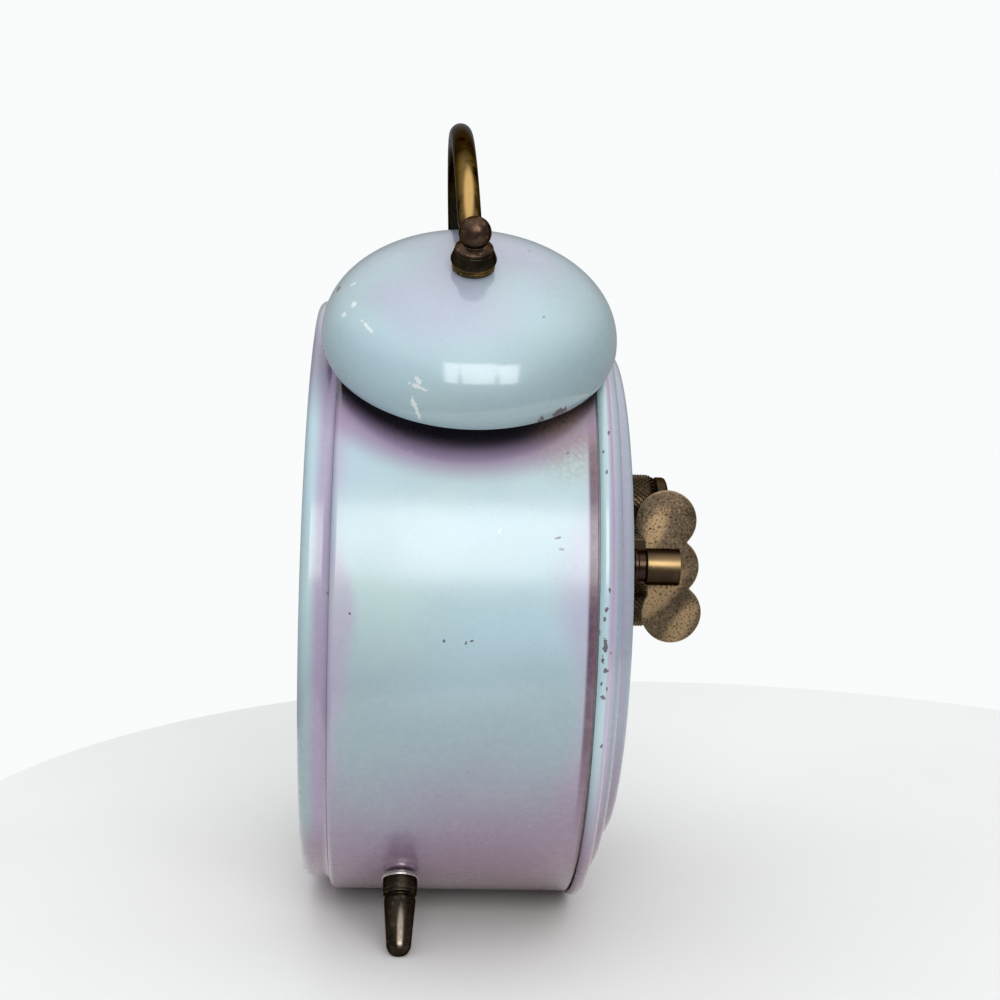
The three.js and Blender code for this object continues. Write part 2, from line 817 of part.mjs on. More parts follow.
// Great wheel: turns on its winding arbor, with the click's pivot beside the ratchet
function greatWheel(teeth, module, direction, level) {
  const disc = flat(toothed(teeth, module, direction), level, level + 1.4);
  const bore = rod(windingArborRadius + pivotPlay, level - 1, level + 3, 10);
  return cutBy(disc, bore);
}

// Centre wheel and pinion on one pipe, gripping the centre arbor as a friction clutch
function centreWheel() {
  const pipe = turned(
    ringProfile(
      settingArborRadius + pivotPlay,
      2.2,
      frontPlateBack + seatGap,
      timeGreatLevel + 2,
    ),
    8,
  );
  const bore = rod(settingArborRadius + pivotPlay, frontPlateBack, timeGreatLevel + 4, 8);
  const teeth = wheel(
    centreTeeth, centreModule, directionTo(centreArbor, thirdArbor), centreLevel,
  );
  const leaves = pinion(
    centrePinionTeeth,
    greatModule,
    directionTo(centreArbor, timeArbor),
    timeGreatLevel - 0.6,
    timeGreatLevel + 2,
  );
  return cutBy(joined(pipe, teeth, leaves), bore);
}

// A train wheel with its pinion on an arbor between the plates
function trainWheel(teeth, module, next, level, pinionModule, previous, pinionLevel, at) {
  return joined(
    plateArbor(),
    wheel(teeth, module, directionTo(at, next), level),
    pinion(
      trainPinionTeeth,
      pinionModule,
      directionTo(at, previous),
      pinionLevel - 0.5,
      pinionLevel + 1.5,
    ),
  );
}

// Escape wheel: raked pointed teeth over a pinion
function escapeWheel() {
  const points = [];
  for (let i = 0; i < escapeTeeth; i += 1) {
    const turn = (2 * Math.PI * i) / escapeTeeth;
    points.push(toward(centreArbor, escapeRadius, THREE.MathUtils.radToDeg(turn)));
    points.push(toward(centreArbor, 0.7 * escapeRadius, THREE.MathUtils.radToDeg(turn + 0.12)));
  }
  return joined(
    plateArbor(),
    flat(new THREE.Shape(points), escapeLevel, escapeLevel + wheelThickness),
    pinion(
      trainPinionTeeth,
      fourthModule,
      directionTo(escapeArbor, fourthArbor),
      fourthLevel - 0.5,
      fourthLevel + 1.5,
    ),
  );
}

// Pallet lever: anchor arms with two pallet pins clear of the escape teeth, tail to the balance
function palletLever() {
  const home = centreArbor;
  const escape = escapeArbor.clone().sub(leverArbor);
  const back = directionTo(escapeArbor, leverArbor);
  const from = escapeLevel;
  const to = escapeLevel + wheelThickness;
  const arms = [-42, 42].map((spread) => {
    const pin = toward(escape, escapeRadius + 1.1, back + spread);
    return joined(bar(home, pin, 1, from, to), rodAt(pin, 0.5, from, to));
  });
  const tail = bar(home, toward(home, 0.66 * balanceDistance, balanceDirection), 1, from, to);
  return joined(plateArbor(), ...arms, tail);
}

// Balance: rim on two arms, roller and staff
function balanceWheel() {
  const rim = turned(
    ringProfile(balanceRadius - 1, balanceRadius, balanceLevel, balanceLevel + 1.2), 14,
  );
  const arms = [90, 270].map((direction) =>
    bar(
      centreArbor,
      toward(centreArbor, balanceRadius - 0.5, direction),
      1,
      balanceLevel + 0.1,
      balanceLevel + 1.1,
    ));
  const roller = rod(1.5, escapeLevel, escapeLevel + wheelThickness, 8);
  return joined(plateArbor(), rim, ...arms, roller);
}

// Hand levels in front of the dial
const alarmHandFront = dialFront - 0.9;
const hourHandFront = dialFront - 1.9;
const minuteHandFront = dialFront - 3.2;
const hourPipe = { inner: settingArborRadius + pivotPlay, outer: settingArborRadius + 1 };

// A hand: round boss bored for its arbor and a blade that widens and comes to a point
function hand(length, bossRadius, bore, front, turn) {
  const blade = new THREE.Shape();
  const width = 0.05 * length + 0.5;
  blade.moveTo(-width / 2, 0);
  blade.lineTo(width / 2, 0);
  blade.lineTo(width, 0.55 * length);
  blade.lineTo(0, length);
  blade.lineTo(-width, 0.55 * length);
  const back = front + handThickness;
  const boss = rod(bossRadius, front, back, 10);
  const whole = cutBy(joined(boss, flat(blade, front, back)), rod(bore, front - 1, back + 1, 8));
  return whole.rotate([0, turn, 0]);
}

// Key and knob levels behind the cover
const keyStart = coverFace + keyStandOff;
const knobStart = coverFace + knobStandOff;
const knobBore = settingArborRadius + seatGap;

// Centre arbor: from the minute hand to the setting knob, with the cannon pinion
function centreArborShaft() {
  const shaft = rod(settingArborRadius, minuteHandFront - 0.2, knobStart + 0.6 * knobLength, 10);
  const leaves = pinion(
    cannonTeeth,
    minuteModule,
    directionTo(centreArbor, minuteArbor),
    minuteLevel - 0.3,
    minuteLevel + 1.3,
  );
  return joined(shaft, leaves);
}

// Minute wheel: idler whose pinion drives the hour wheel, on a stud in the front plate
function minuteWheel() {
  const back = directionTo(minuteArbor, centreArbor);
  return joined(
    wheel(minuteWheelTeeth, minuteModule, back, minuteLevel),
    pinion(minutePinionTeeth, hourModule, back, hourLevel - 0.3, minuteLevel + 0.2),
    rod(pivotRadius, minuteLevel + 0.5, frontPlateBack + 0.1),
  );
}

// Hour wheel: its pipe carries the hour hand through the dial
function hourWheel() {
  const pipe = turned(
    ringProfile(hourPipe.inner, hourPipe.outer, hourHandFront - 0.2, hourLevel + 0.5), 10,
  );
  const teeth = wheel(hourTeeth, hourModule, directionTo(centreArbor, minuteArbor), hourLevel);
  const bore = rod(hourPipe.inner, hourHandFront - 2, hourLevel + 4, 10);
  return cutBy(joined(pipe, teeth), bore);
}

// Alarm setting arbor: from the alarm hand to its knob, with the trip cam behind the alarm wheel
function alarmSetShaft() {
  const shaft = rod(
    settingArborRadius, alarmHandFront - 0.2, knobStart + 0.6 * knobLength, 10,
  );
  const camLevel = hourLevel + wheelThickness + seatGap;
  const cam = rodAt(new THREE.Vector2(0.8, 0), 3, camLevel, camLevel + 0.8, 14);
  return joined(shaft, cam);
}

// Alarm wheel: geared one to one with the hour wheel, loose on the alarm setting arbor
function alarmWheel() {
  const direction = directionTo(alarmSetArbor, centreArbor);
  const share = (360 / hourTeeth);
  const meeting = directionTo(centreArbor, alarmSetArbor);
  const start = directionTo(centreArbor, minuteArbor);
  const phase = (meeting - start) / share;
  const shift = (phase - Math.round(phase)) * share;
  const teeth = wheel(hourTeeth, hourModule, direction + share / 2 + shift, hourLevel);
  return cutBy(teeth, rod(settingArborRadius + pivotPlay, hourLevel - 1, hourLevel + 3, 10));
}

// Key barrel: turned with a neck, slotted across its outer end for the wing plate, bored for the
// arbor
function keyBarrel() {
  const end = keyStart + keyBarrelLength;
  const bore = windingArborRadius + seatGap;
  const boreEnd = keyStart + keyBase - 0.3;
  const body = turned([
    [0, boreEnd],
    [bore, boreEnd],
    [bore, keyStart],
    [keyNeckRadius, keyStart],
    [keyNeckRadius, keyStart + keyNeckLength],
    [keyBarrelRadius, keyStart + keyNeckLength],
    [keyBarrelRadius, end - 0.4],
    [keyBarrelRadius - 0.4, end],
    [0, end],
  ], 14);
  const slotWidth = keyPlate + 2 * seatGap;
  const slot = new THREE.BoxGeometry(slotWidth, 2 * keyBarrelLength, 4 * keyBarrelRadius);
  slot.translate(0, keyStart + keyBase + keyBarrelLength, 0);
  return cutBy(body, solidFrom(slot));
}

// Key wings: stamped plate of three round lobes in a row across the barrel, askew in its slot
function keyWings(tilt) {
  const middle = keyStart + keyLobeReach;
  const inner = keyStart + keyBase + seatGap + keyBarrelRadius * Math.sin(radians(tilt));
  const lobe = (height) => {
    const geometry = new THREE.CylinderGeometry(keyLobeRadius, keyLobeRadius, keyPlate, 16);
    geometry.rotateZ(Math.PI / 2);
    geometry.translate(0, middle, height);
    return solidFrom(geometry);
  };
  const web = new THREE.BoxGeometry(keyPlate, middle - inner, 2 * keyLobeSpacing);
  web.translate(0, (middle + inner) / 2, 0);
  const relief = new THREE.BoxGeometry(2 * keyPlate, 4, keyLobeSpacing);
  relief.translate(0, inner - 2, 0);
  return cutBy(
    joined(lobe(-keyLobeSpacing), lobe(0), lobe(keyLobeSpacing), solidFrom(web)),
    solidFrom(relief),
  )
    .translate([0, -middle, 0])
    .rotate([tilt, 0, 0])
    .translate([0, middle, 0]);
}

// Setting knob: full grip, waist and end ring, with a blind bore
function knob(radius) {
  const end = knobStart + knobLength;
  const boreEnd = knobStart + 0.6 * knobLength + seatGap;
  return turned([
    [0, boreEnd],
    [knobBore, boreEnd],
    [knobBore, knobStart],
    [0.88 * radius, knobStart],
    [radius, knobStart + 0.14 * knobLength],
    [radius, knobStart + 0.6 * knobLength],
    [0.88 * radius, knobStart + 0.74 * knobLength],
    [0.92 * radius, knobStart + 0.77 * knobLength],
    [0.92 * radius, end - 0.7],
    [0.8 * radius, end],
    [0, end],
  ], 14);
}

// Alarm escape wheel: star that rocks the hammer's verge, over its pinion
function alarmEscapeWheel() {
  const points = [];
  for (let i = 0; i < alarmEscapeTeeth; i += 1) {
    const turn = (360 * i) / alarmEscapeTeeth;
    points.push(toward(centreArbor, alarmEscapeRadius, turn));
    points.push(toward(centreArbor, 0.7 * alarmEscapeRadius, turn + 180 / alarmEscapeTeeth));
  }
  return joined(
    plateArbor(),
    flat(new THREE.Shape(points), alarmEscapeLevel, alarmEscapeLevel + wheelThickness),
    pinion(
      alarmPinionTeeth,
      alarmModule,
      directionTo(alarmEscapeArbor, alarmArbor),
      alarmGreatLevel - 0.5,
      alarmGreatLevel + 1.9,
    ),
  );
}

// Hammer arm: arbor with verge pallets and a brake collar, and the wire that carries the head
function hammerArm() {
  const home = centreArbor;
  const facing = directionTo(hammerArbor, alarmEscapeArbor);
  const verge = [-38, 38].map((spread) =>
    bar(
      home,
      toward(home, 4.4, facing + spread),
      1.2,
      alarmEscapeLevel,
      alarmEscapeLevel + wheelThickness,
    ));
  const collar = rod(hammerCollar, stopSetback - 1.5, stopSetback + 1.5, 10);
  const hub = rod(2, -1.6, 1.6, 8);
  const wire = new THREE.CylinderGeometry(hammerRod, hammerRod, hammerWire, 8);
  wire.rotateX(Math.PI / 2);
  wire.translate(0, 0, hammerWire / 2);
  return joined(plateArbor(), ...verge, collar, hub, solidFrom(wire));
}
const hammerCollar = 3;
const hammerWire = hammerHeadHeight - hammerPivotHeight + 0.6 * hammerHeadRadius;

// Hammer head: short cylinder across the clock with eased ends, bored for the wire
function hammerHead() {
  const half = hammerHeadHalf;
  const geometry = turnedGeometry([
    [0, -half],
    [hammerHeadRadius - 0.8, -half],
    [hammerHeadRadius, 0.8 - half],
    [hammerHeadRadius, half - 0.8],
    [hammerHeadRadius - 0.8, half],
    [0, half],
  ], 12);
  geometry.rotateZ(Math.PI / 2);
  const rise = hammerHeadHeight - hammerPivotHeight;
  geometry.translate(0, 0, rise);
  const bore = new THREE.CylinderGeometry(
    hammerRod + seatGap, hammerRod + seatGap, 4 * hammerHeadRadius, 10,
  );
  bore.rotateX(Math.PI / 2);
  bore.translate(0, 0, rise - 2 * hammerHeadRadius + 0.6 * hammerHeadRadius + seatGap);
  return cutBy(solidFrom(geometry), solidFrom(bore));
}

// Alarm stop: plunger through the top of the drum that brakes the hammer's collar
function alarmStop() {
  const tip = hammerPivotHeight + hammerCollar + seatGap + stopTravel;
  const headBase = caseRadius + seatGap + stopTravel;
  const inside = caseRadius - caseSheet - 2 * seatGap;
  return turnedOnRadius([
    [0, tip],
    [stopRod, tip],
    [stopRod, inside - 0.8],
    [stopRod + 0.8, inside - 0.8],
    [stopRod + 0.8, inside],
    [stopRod, inside],
    [stopRod, headBase],
    [stopRod + 1.2, headBase],
    [stopRod + 1.2, headBase + 1.4],
    [stopRod + 0.6, headBase + 2],
    [0, headBase + 2.2],
  ], 0, stopSetback, 10);
}

// The scene: the clock's own frame sits on Z = 0, centred along Y between crystal and keys
const clock = new THREE.Group();
const working = new THREE.Group();
const crystalFront = crystalRim - crystalThickness - crystalRise;
const keyTurn = radians(keyPlateTilt);
const keyEnd = keyStart + keyLobeReach
  + keyLobeSpacing * Math.sin(keyTurn) + keyLobeRadius * Math.cos(keyTurn);
working.position.set(0, -(crystalFront + keyEnd) / 2, standHeight);
clock.add(working);

function place(name, solid, material, point = centreArbor, parent = working) {
  const mesh = new THREE.Mesh(geometryFrom(solid), material);
  mesh.name = name;
  mesh.position.set(point.x, 0, point.y);
  parent.add(mesh);
  return mesh;
}

place("case_drum", caseDrum(), paint);
place("front_bezel", frontBezel(), paint);
place("crystal", crystal(), glass);
place("dial_plate", dialPlate(), dialPaper);
place("back_cover", backCover(), paint);
for (const [side, sign] of [["right", 1], ["left", -1]]) {
  place(`bell_${side}`, bell(sign * bellAngle), paint);
  place(`bell_post_${side}`, bellPost(sign * bellAngle), brightSteel);
  place(`bell_washer_${side}`, bellWasher(sign * bellAngle), agedBrass);
  place(`ball_nut_${side}`, ballNut(sign * bellAngle), agedBrass);
  const footTurn = sign * (180 - footAngle);
  place(`foot_${side}`, foot(footTurn), agedBrass);
  place(`foot_washer_${side}`, footWasher(footTurn), brightSteel);
}
place("handle", handle(), agedBrass);

place("front_plate", frontPlate(), brass);
place("back_plate", backPlate(), brass);
for (const [corner, point] of Object.entries(pillars)) {
  place(`pillar_${corner}`, pillar(), brightSteel, point);
}

const timeRatchetLevel = timeGreatLevel + 1.7;
const alarmRatchetLevel = alarmGreatLevel + 1.7;
place("time_arbor", windingArbor(timeSpringLevel, timeRatchetLevel), brightSteel, timeArbor);
place(
  "time_mainspring",
  mainspring(timeArbor, pillars.top_right, timeSpringLevel),
  springSteel,
  timeArbor,
);
place(
  "time_great_wheel",
  greatWheel(greatTeeth, greatModule, directionTo(timeArbor, centreArbor), timeGreatLevel),
  brass,
  timeArbor,
);
place("time_click", click(timeRatchetLevel), brightSteel, timeArbor);
place("time_key_barrel", keyBarrel(), keyBronze, timeArbor);
place("time_key_wings", keyWings(keyPlateTilt), keyBronze, timeArbor);

place("alarm_arbor", windingArbor(alarmSpringLevel, alarmRatchetLevel), brightSteel, alarmArbor);
place(
  "alarm_mainspring",
  mainspring(alarmArbor, pillars.top_left, alarmSpringLevel),
  springSteel,
  alarmArbor,
);
place(
  "alarm_great_wheel",
  greatWheel(
    alarmGreatTeeth,
    alarmModule,
    directionTo(alarmArbor, alarmEscapeArbor),
    alarmGreatLevel,
  ),
  brass,
  alarmArbor,
);
place("alarm_click", click(alarmRatchetLevel), brightSteel, alarmArbor);
const restTurn = [0, alarmKeyTurn, 0];
place("alarm_key_barrel", keyBarrel().rotate(restTurn), keyBronze, alarmArbor);
place("alarm_key_wings", keyWings(0).rotate(restTurn), keyBronze, alarmArbor);

place("centre_wheel", centreWheel(), brass);
place(
  "third_wheel",
  trainWheel(
    thirdTeeth, thirdModule, fourthArbor, thirdLevel, centreModule, centreArbor, centreLevel,
    thirdArbor,
  ),
  brass,
  thirdArbor,
);
place(
  "fourth_wheel",
  trainWheel(
    fourthTeeth, fourthModule, escapeArbor, fourthLevel, thirdModule, thirdArbor, thirdLevel,
    fourthArbor,
  ),
  brass,
  fourthArbor,
);
place("escape_wheel", escapeWheel(), brass, escapeArbor);
place("pallet_lever", palletLever(), brightSteel, leverArbor);
place("balance_wheel", balanceWheel(), brass, balanceArbor);
place("hairspring", hairspring(), springSteel, balanceArbor);

place("centre_arbor", centreArborShaft(), brightSteel);
place(
  "minute_hand",
  hand(minuteHandLength, 2.6, settingArborRadius + seatGap, minuteHandFront, minuteHandTurn),
  handBlack,
);
place("time_set_knob", knob(timeKnobRadius), knobBronze);
place("minute_wheel", minuteWheel(), brass, minuteArbor);
place("hour_wheel", hourWheel(), brass);
place(
  "hour_hand",
  hand(hourHandLength, 4, hourPipe.outer + seatGap, hourHandFront, hourHandTurn),
  handBlack,
);
place("alarm_set_arbor", alarmSetShaft(), brightSteel, alarmSetArbor);
place("alarm_set_knob", knob(alarmKnobRadius), knobBronze, alarmSetArbor);
place(
  "alarm_hand",
  hand(alarmHandLength, 2.4, settingArborRadius + seatGap, alarmHandFront, alarmHandTurn),
  alarmRed,
  alarmSetArbor,
);
place("alarm_wheel", alarmWheel(), brass, alarmSetArbor);
place("alarm_escape_wheel", alarmEscapeWheel(), brass, alarmEscapeArbor);
place("hammer_arm", hammerArm(), brightSteel, hammerArbor);
place("hammer_head", hammerHead(), brightSteel, hammerArbor);
place("alarm_stop", alarmStop(), brightSteel);

export default clock;
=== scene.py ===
import json
import math

import bmesh
import bpy
from mathutils import Matrix, Vector


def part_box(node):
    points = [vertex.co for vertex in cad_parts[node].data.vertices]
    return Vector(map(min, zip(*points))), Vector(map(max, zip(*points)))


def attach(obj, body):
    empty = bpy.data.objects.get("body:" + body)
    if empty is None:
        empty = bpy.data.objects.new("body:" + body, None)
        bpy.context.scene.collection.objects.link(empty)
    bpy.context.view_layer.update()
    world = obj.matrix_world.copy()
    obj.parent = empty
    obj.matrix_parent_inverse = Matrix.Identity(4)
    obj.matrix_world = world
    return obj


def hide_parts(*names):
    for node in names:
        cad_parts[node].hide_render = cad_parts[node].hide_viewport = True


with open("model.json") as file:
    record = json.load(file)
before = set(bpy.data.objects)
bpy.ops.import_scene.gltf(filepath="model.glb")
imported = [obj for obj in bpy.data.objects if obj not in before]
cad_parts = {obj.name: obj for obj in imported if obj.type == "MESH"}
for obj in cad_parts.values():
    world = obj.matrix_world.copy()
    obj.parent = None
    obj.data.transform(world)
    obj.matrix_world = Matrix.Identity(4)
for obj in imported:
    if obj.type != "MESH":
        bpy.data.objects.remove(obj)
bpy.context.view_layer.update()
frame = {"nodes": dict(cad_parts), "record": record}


# Case drum
# A short tube of drawn steel, its front edge rolled over behind the bezel and the whole sprayed in
# pale blue enamel. A slot in the top lets the hammer's wire out, and a hole guides the alarm stop.
mm = 0.001
drum_low, drum_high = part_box("case_drum")
on_case = Matrix.Translation((drum_low + drum_high) / 2 / mm)
drum_radius = 55.0
bell_angle = 34
bell_lean = math.radians(bell_angle)
bell_setback = 0.5


def tone(red, green, blue):
    """A colour given as it looks on a screen, 0 to 255, as the linear values that shaders take."""
    linear = [
        ((value / 255 + 0.055) / 1.055) ** 2.4 if value > 10 else value / 255 / 12.92
        for value in (red, green, blue)
    ]
    return (*linear, 1.0)


def plug(finish, node, **sockets):
    """Give a node's inputs values or links. An input goes by its name, or as in0, in1 and so on."""
    for name, value in sockets.items():
        numbered = name.startswith("in") and name[2:].isdigit()
        socket = node.inputs[int(name[2:]) if numbered else name.replace("_", " ")]
        if isinstance(value, bpy.types.NodeSocket):
            finish.node_tree.links.new(value, socket)
        else:
            socket.default_value = value


def add_node(finish, kind, settings=None, **sockets):
    """One shader node: settings are its own switches, and sockets go to its inputs."""
    node = finish.node_tree.nodes.new("ShaderNode" + kind)
    for name, value in (settings or {}).items():
        setattr(node, name, value)
    plug(finish, node, **sockets)
    return node


def new_finish(name):
    """An empty material, its surface shader and the object's own coordinates."""
    finish = bpy.data.materials.new(name)
    finish.use_nodes = True
    surface = finish.node_tree.nodes["Principled BSDF"]
    coords = add_node(finish, "TexCoord").outputs["Object"]
    return finish, surface, coords


def mixed(finish, share, first, second):
    """Colour first going over to colour second as share goes from 0 to 1."""
    node = add_node(finish, "Mix", {"data_type": "RGBA"}, in0=share, in6=first, in7=second)
    return node.outputs[2]


def sums(finish, how, first, second):
    return add_node(finish, "Math", {"operation": how}, in0=first, in1=second).outputs[0]


def fade(finish, value, start, end, top=1.0):
    """0 at start, top at end, eased between and level beyond."""
    low, high, at_low, at_high = (end, start, top, 0.0) if start > end else (start, end, 0.0, top)
    node = add_node(
        finish, "MapRange", {"interpolation_type": "SMOOTHSTEP"}, Value=value, From_Min=low, From_Max=high,
        To_Min=at_low, To_Max=at_high,
    )
    return node.outputs[0]


def noise(finish, coords, scale, detail=3.0, roughness=0.5, distortion=0.0):
    node = add_node(
        finish, "TexNoise", Vector=coords, Scale=scale, Detail=detail, Roughness=roughness,
        Distortion=distortion,
    )
    return node.outputs[0]


def along(finish, coords, direction):
    """Distance along a direction, in metres."""
    node = add_node(finish, "VectorMath", {"operation": "DOT_PRODUCT"}, in0=coords, in1=direction)
    return node.outputs["Value"]


def away_from(finish, coords, point):
    """Distance from a point, in metres."""
    node = add_node(finish, "VectorMath", {"operation": "DISTANCE"}, in0=coords, in1=point)
    return node.outputs["Value"]


def centred(finish, value, size):
    """A noise value made to swing about zero, by so much in all."""
    return sums(finish, "MULTIPLY", sums(finish, "SUBTRACT", value, 0.5), size)


def case_point(point):
    """A point in millimetres from the case's centre, in the metres that shaders see."""
    return (on_case.translation + Vector(point)) * mm


def case_level(direction, distance):
    """A distance along a direction from the case's centre, in the metres that shaders see."""
    return (distance + on_case.translation.dot(Vector(direction))) * mm


# Lilac, grey and mauve paint shade on the enamel; the pale white paints worn marks and reflections.
enamel_blue = tone(176, 203, 213)
enamel_green = tone(184, 209, 209)
enamel_shade_lilac = tone(184, 152, 190)
chip_brown = tone(70, 44, 54)
scuff_and_reflection_white = tone(236, 242, 240)
enamel_shade_grey = tone(138, 158, 167)
enamel_shade_mauve = tone(142, 122, 148)
chip_fray = 2.4
pale_mark_fray = 2.0


def stroke(finish, coords, point, way, length, width, ragged=0.0, strength=1.0):
    """A mask for one short mark, a long narrow oval about a point, in case millimetres. Ragged is how
    far its edge frays, as a share of its size."""
    node = add_node(
        finish, "Mapping", {"vector_type": "TEXTURE"}, Vector=coords, Location=case_point(point),
        Rotation=Vector(way).to_track_quat("X", "Z").to_euler(), Scale=Vector((length, width, width)) * mm,
    )
    reach = add_node(finish, "VectorMath", {"operation": "LENGTH"}, in0=node.outputs[0]).outputs["Value"]
    if ragged:
        reach = sums(finish, "ADD", reach, centred(finish, noise(finish, coords, 2200.0, 2.0), ragged))
    return fade(finish, reach, 1.0, 0.4 + 0.15 * ragged, strength)


def enamel(name, hazes, chips=(), stain=None, marks=(), scuffs_and_reflections=(), painted_shadows=(), dull=0.16):
    """Glossy enamel. Hazes are (direction, start, end, strength, colour) where another colour creeps
    in; most are painted shade, lilac, grey, mauve and rose, and a few are dark seam lines. Chips are
    (direction, low, high, share) bands where the enamel is knocked off, marks are dark strokes, and
    pale strokes are worn marks that on the bells include painted reflections. Painted shadows (point,
    inner, outer, strength, colour) darken the enamel about points. Stain is the middle and the reach
    of one brown patch. All sizes are in millimetres from the case's centre. Dull blurs what the
    lacquer mirrors."""
    finish, surface, coords = new_finish(name)
    cloud = noise(finish, coords, 30.0)
    colour = mixed(finish, fade(finish, cloud, 0.35, 0.7), enamel_blue, enamel_green)
    wander = centred(finish, noise(finish, coords, 40.0, 1.0), 0.014)
    for direction, start, end, strength, tint in hazes:
        level = along(finish, coords, direction)
        if abs(end - start) > 2:
            level = sums(finish, "ADD", level, wander)
        share = fade(finish, level, case_level(direction, start), case_level(direction, end), strength)
        colour = mixed(finish, share, colour, tint)
    mottle = fade(finish, noise(finish, coords, 900.0, 2.0), 0.35, 0.75, 0.06)
    colour = mixed(finish, mottle, colour, tone(206, 220, 222))
    # Painted shadows, dark at their middle and fading out.
    squeeze = Vector((1, 0.85, 1))
    for point, inner, outer, strength, tint in painted_shadows:
        narrowed = add_node(finish, "VectorMath", {"operation": "MULTIPLY"}, in0=coords, in1=squeeze)
        reach = away_from(finish, narrowed.outputs[0], case_point(point) * squeeze)
        colour = mixed(finish, fade(finish, reach, outer * mm, inner * mm, strength), colour, tint)
    if stain:
        point, reach = stain
        grain = noise(finish, coords, 1500.0, 2.0)
        away = sums(finish, "ADD", away_from(finish, coords, case_point(point)), wander)
        soft = fade(finish, away, reach * mm, 0.0)
        spread = sums(finish, "MULTIPLY", soft, fade(finish, grain, 0.1, 0.8, 0.6))
        colour = mixed(finish, spread, colour, tone(146, 118, 92))
    worn = fade(finish, noise(finish, coords, 520.0, 1.0), 0.79, 0.82, 0.6)
    for direction, low, high, share in chips:
        level = along(finish, coords, direction)
        inside = sums(
            finish, "MULTIPLY",
            fade(finish, level, case_level(direction, low - 0.2), case_level(direction, low)),
            fade(finish, level, case_level(direction, high + 0.2), case_level(direction, high)),
        )
        patchy = sums(finish, "MULTIPLY", noise(finish, coords, 75.0, 2.0), noise(finish, coords, 560.0))
        knocked = sums(finish, "MULTIPLY", inside, fade(finish, patchy, share, share + 0.02))
        worn = sums(finish, "MAXIMUM", worn, knocked)
    for mark in marks:
        worn = sums(finish, "MAXIMUM", worn, stroke(finish, coords, *mark, chip_fray, 0.85))
    colour = mixed(finish, worn, colour, chip_brown)
    # Pale strokes: worn marks, and on the bells painted reflections.
    for pale_mark in scuffs_and_reflections:
        colour = mixed(finish, stroke(finish, coords, *pale_mark, pale_mark_fray, 0.75), colour, scuff_and_reflection_white)
    rough = fade(finish, noise(finish, coords, 120.0, 4.0), 0.25, 0.8, 0.14)
    peel = noise(finish, coords, 1500.0, 2.0)
    bump = add_node(finish, "Bump", Strength=0.05, Distance=0.0004, Height=peel)
    plug(
        finish, surface, Base_Color=colour, Roughness=sums(finish, "ADD", rough, 0.24), Coat_Weight=1.0,
        Coat_Roughness=dull, Coat_IOR=1.6, Normal=bump.outputs[0],
    )
    return finish


def meshed(name, shape):
    """A shape made into a mesh, which uses it up."""
    mesh = bpy.data.meshes.new(name)
    shape.to_mesh(mesh)
    shape.free()
    return mesh


def show(name, data):
    """A new object in the scene, for a mesh, a text, a light or a camera."""
    thing = bpy.data.objects.new(name, data)
    bpy.context.scene.collection.objects.link(thing)
    return thing


def face_out(shape):
    """Turn all faces of a shape to the outside."""
    bmesh.ops.recalc_face_normals(shape, faces=shape.faces[:])


def turned(profile, steps=128, ease=0.0):
    """A shape turned about Y from (radius, distance along Y) in millimetres. It closes on the axis,
    or on itself where it doesn't reach the axis, and ease rounds its sharp edges."""
    shape = bmesh.new()
    points = [shape.verts.new((radius, length, 0)) for radius, length in profile]
    for first, second in zip(points, points[1:]):
        shape.edges.new((first, second))
    if profile[0][0] > 0 or profile[-1][0] > 0:
        shape.edges.new((points[-1], points[0]))
    bmesh.ops.spin(
        shape, geom=shape.verts[:] + shape.edges[:], cent=(0, 0, 0), axis=(0, 1, 0), angle=math.tau,
        steps=steps, use_merge=True,
    )
    bmesh.ops.remove_doubles(shape, verts=shape.verts[:], dist=1e-4)
    bmesh.ops.dissolve_degenerate(shape, edges=shape.edges[:], dist=1e-5)
    face_out(shape)
    if ease:
        soften(shape, ease)
    return shape


def soften(shape, ease, least=22):
    """Round every edge that is sharper than an angle in degrees."""
    sharp = [
        edge for edge in shape.edges
        if len(edge.link_faces) == 2 and edge.calc_face_angle() > math.radians(least)
    ]
    bmesh.ops.bevel(
        shape, geom=sharp, offset=ease, offset_type="OFFSET", segments=3, profile=0.5,
        affect="EDGES", clamp_overlap=True, material=-1,
    )


def arc(centre, radius, start, end, count):
    """Points of an arc in a profile, angles in degrees from the outward radius towards the back."""
    turns = [math.radians(start + (end - start) * i / count) for i in range(count + 1)]
    return [(centre[0] + radius * math.cos(t), centre[1] + radius * math.sin(t)) for t in turns]


def drill(tool, radius, depth, place):
    """Add a round bit to a cutting tool. Its length lies along Z before it is placed."""
    bmesh.ops.create_cone(
        tool, cap_ends=True, segments=32, radius1=radius, radius2=radius, depth=depth, matrix=place,
    )


def pierced(shape, tool):
    """One closed shape with another cut out of it."""
    pair = [show("cut", meshed("cut", part)) for part in (shape, tool)]
    cut = pair[0].modifiers.new("cut", "BOOLEAN")
    cut.object = pair[1]
    cut.operation = "DIFFERENCE"
    cut.solver = "EXACT"
    bpy.context.view_layer.update()
    result = bmesh.new()
    result.from_object(pair[0], bpy.context.evaluated_depsgraph_get())
    for work in pair:
        mesh = work.data
        bpy.data.objects.remove(work)
        bpy.data.meshes.remove(mesh)
    return result


def add_piece(name, shape, place, finish, body, slot, *nodes):
    """Put a finished shape in its place, give it its finish and fasten it to its body."""
    shape.transform(Matrix.Scale(mm, 4) @ place)
    mesh = meshed(name, shape)
    mesh.shade_smooth()
    mesh.set_sharp_from_angle(angle=math.radians(38))
    mesh.materials.append(finish)
    piece = show(name, mesh)
    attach(piece, body)
    if nodes:
        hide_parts(*nodes)
    return piece


def along_radius(angle, level=0.0):
    """Turn a shape's Y axis out along a radius of the case, at an angle in degrees from the top."""
    out = Matrix.Rotation(math.radians(angle), 4, "Y") @ Matrix.Rotation(math.radians(90), 4, "X")
    return on_case @ Matrix.Translation((0, level, 0)) @ out


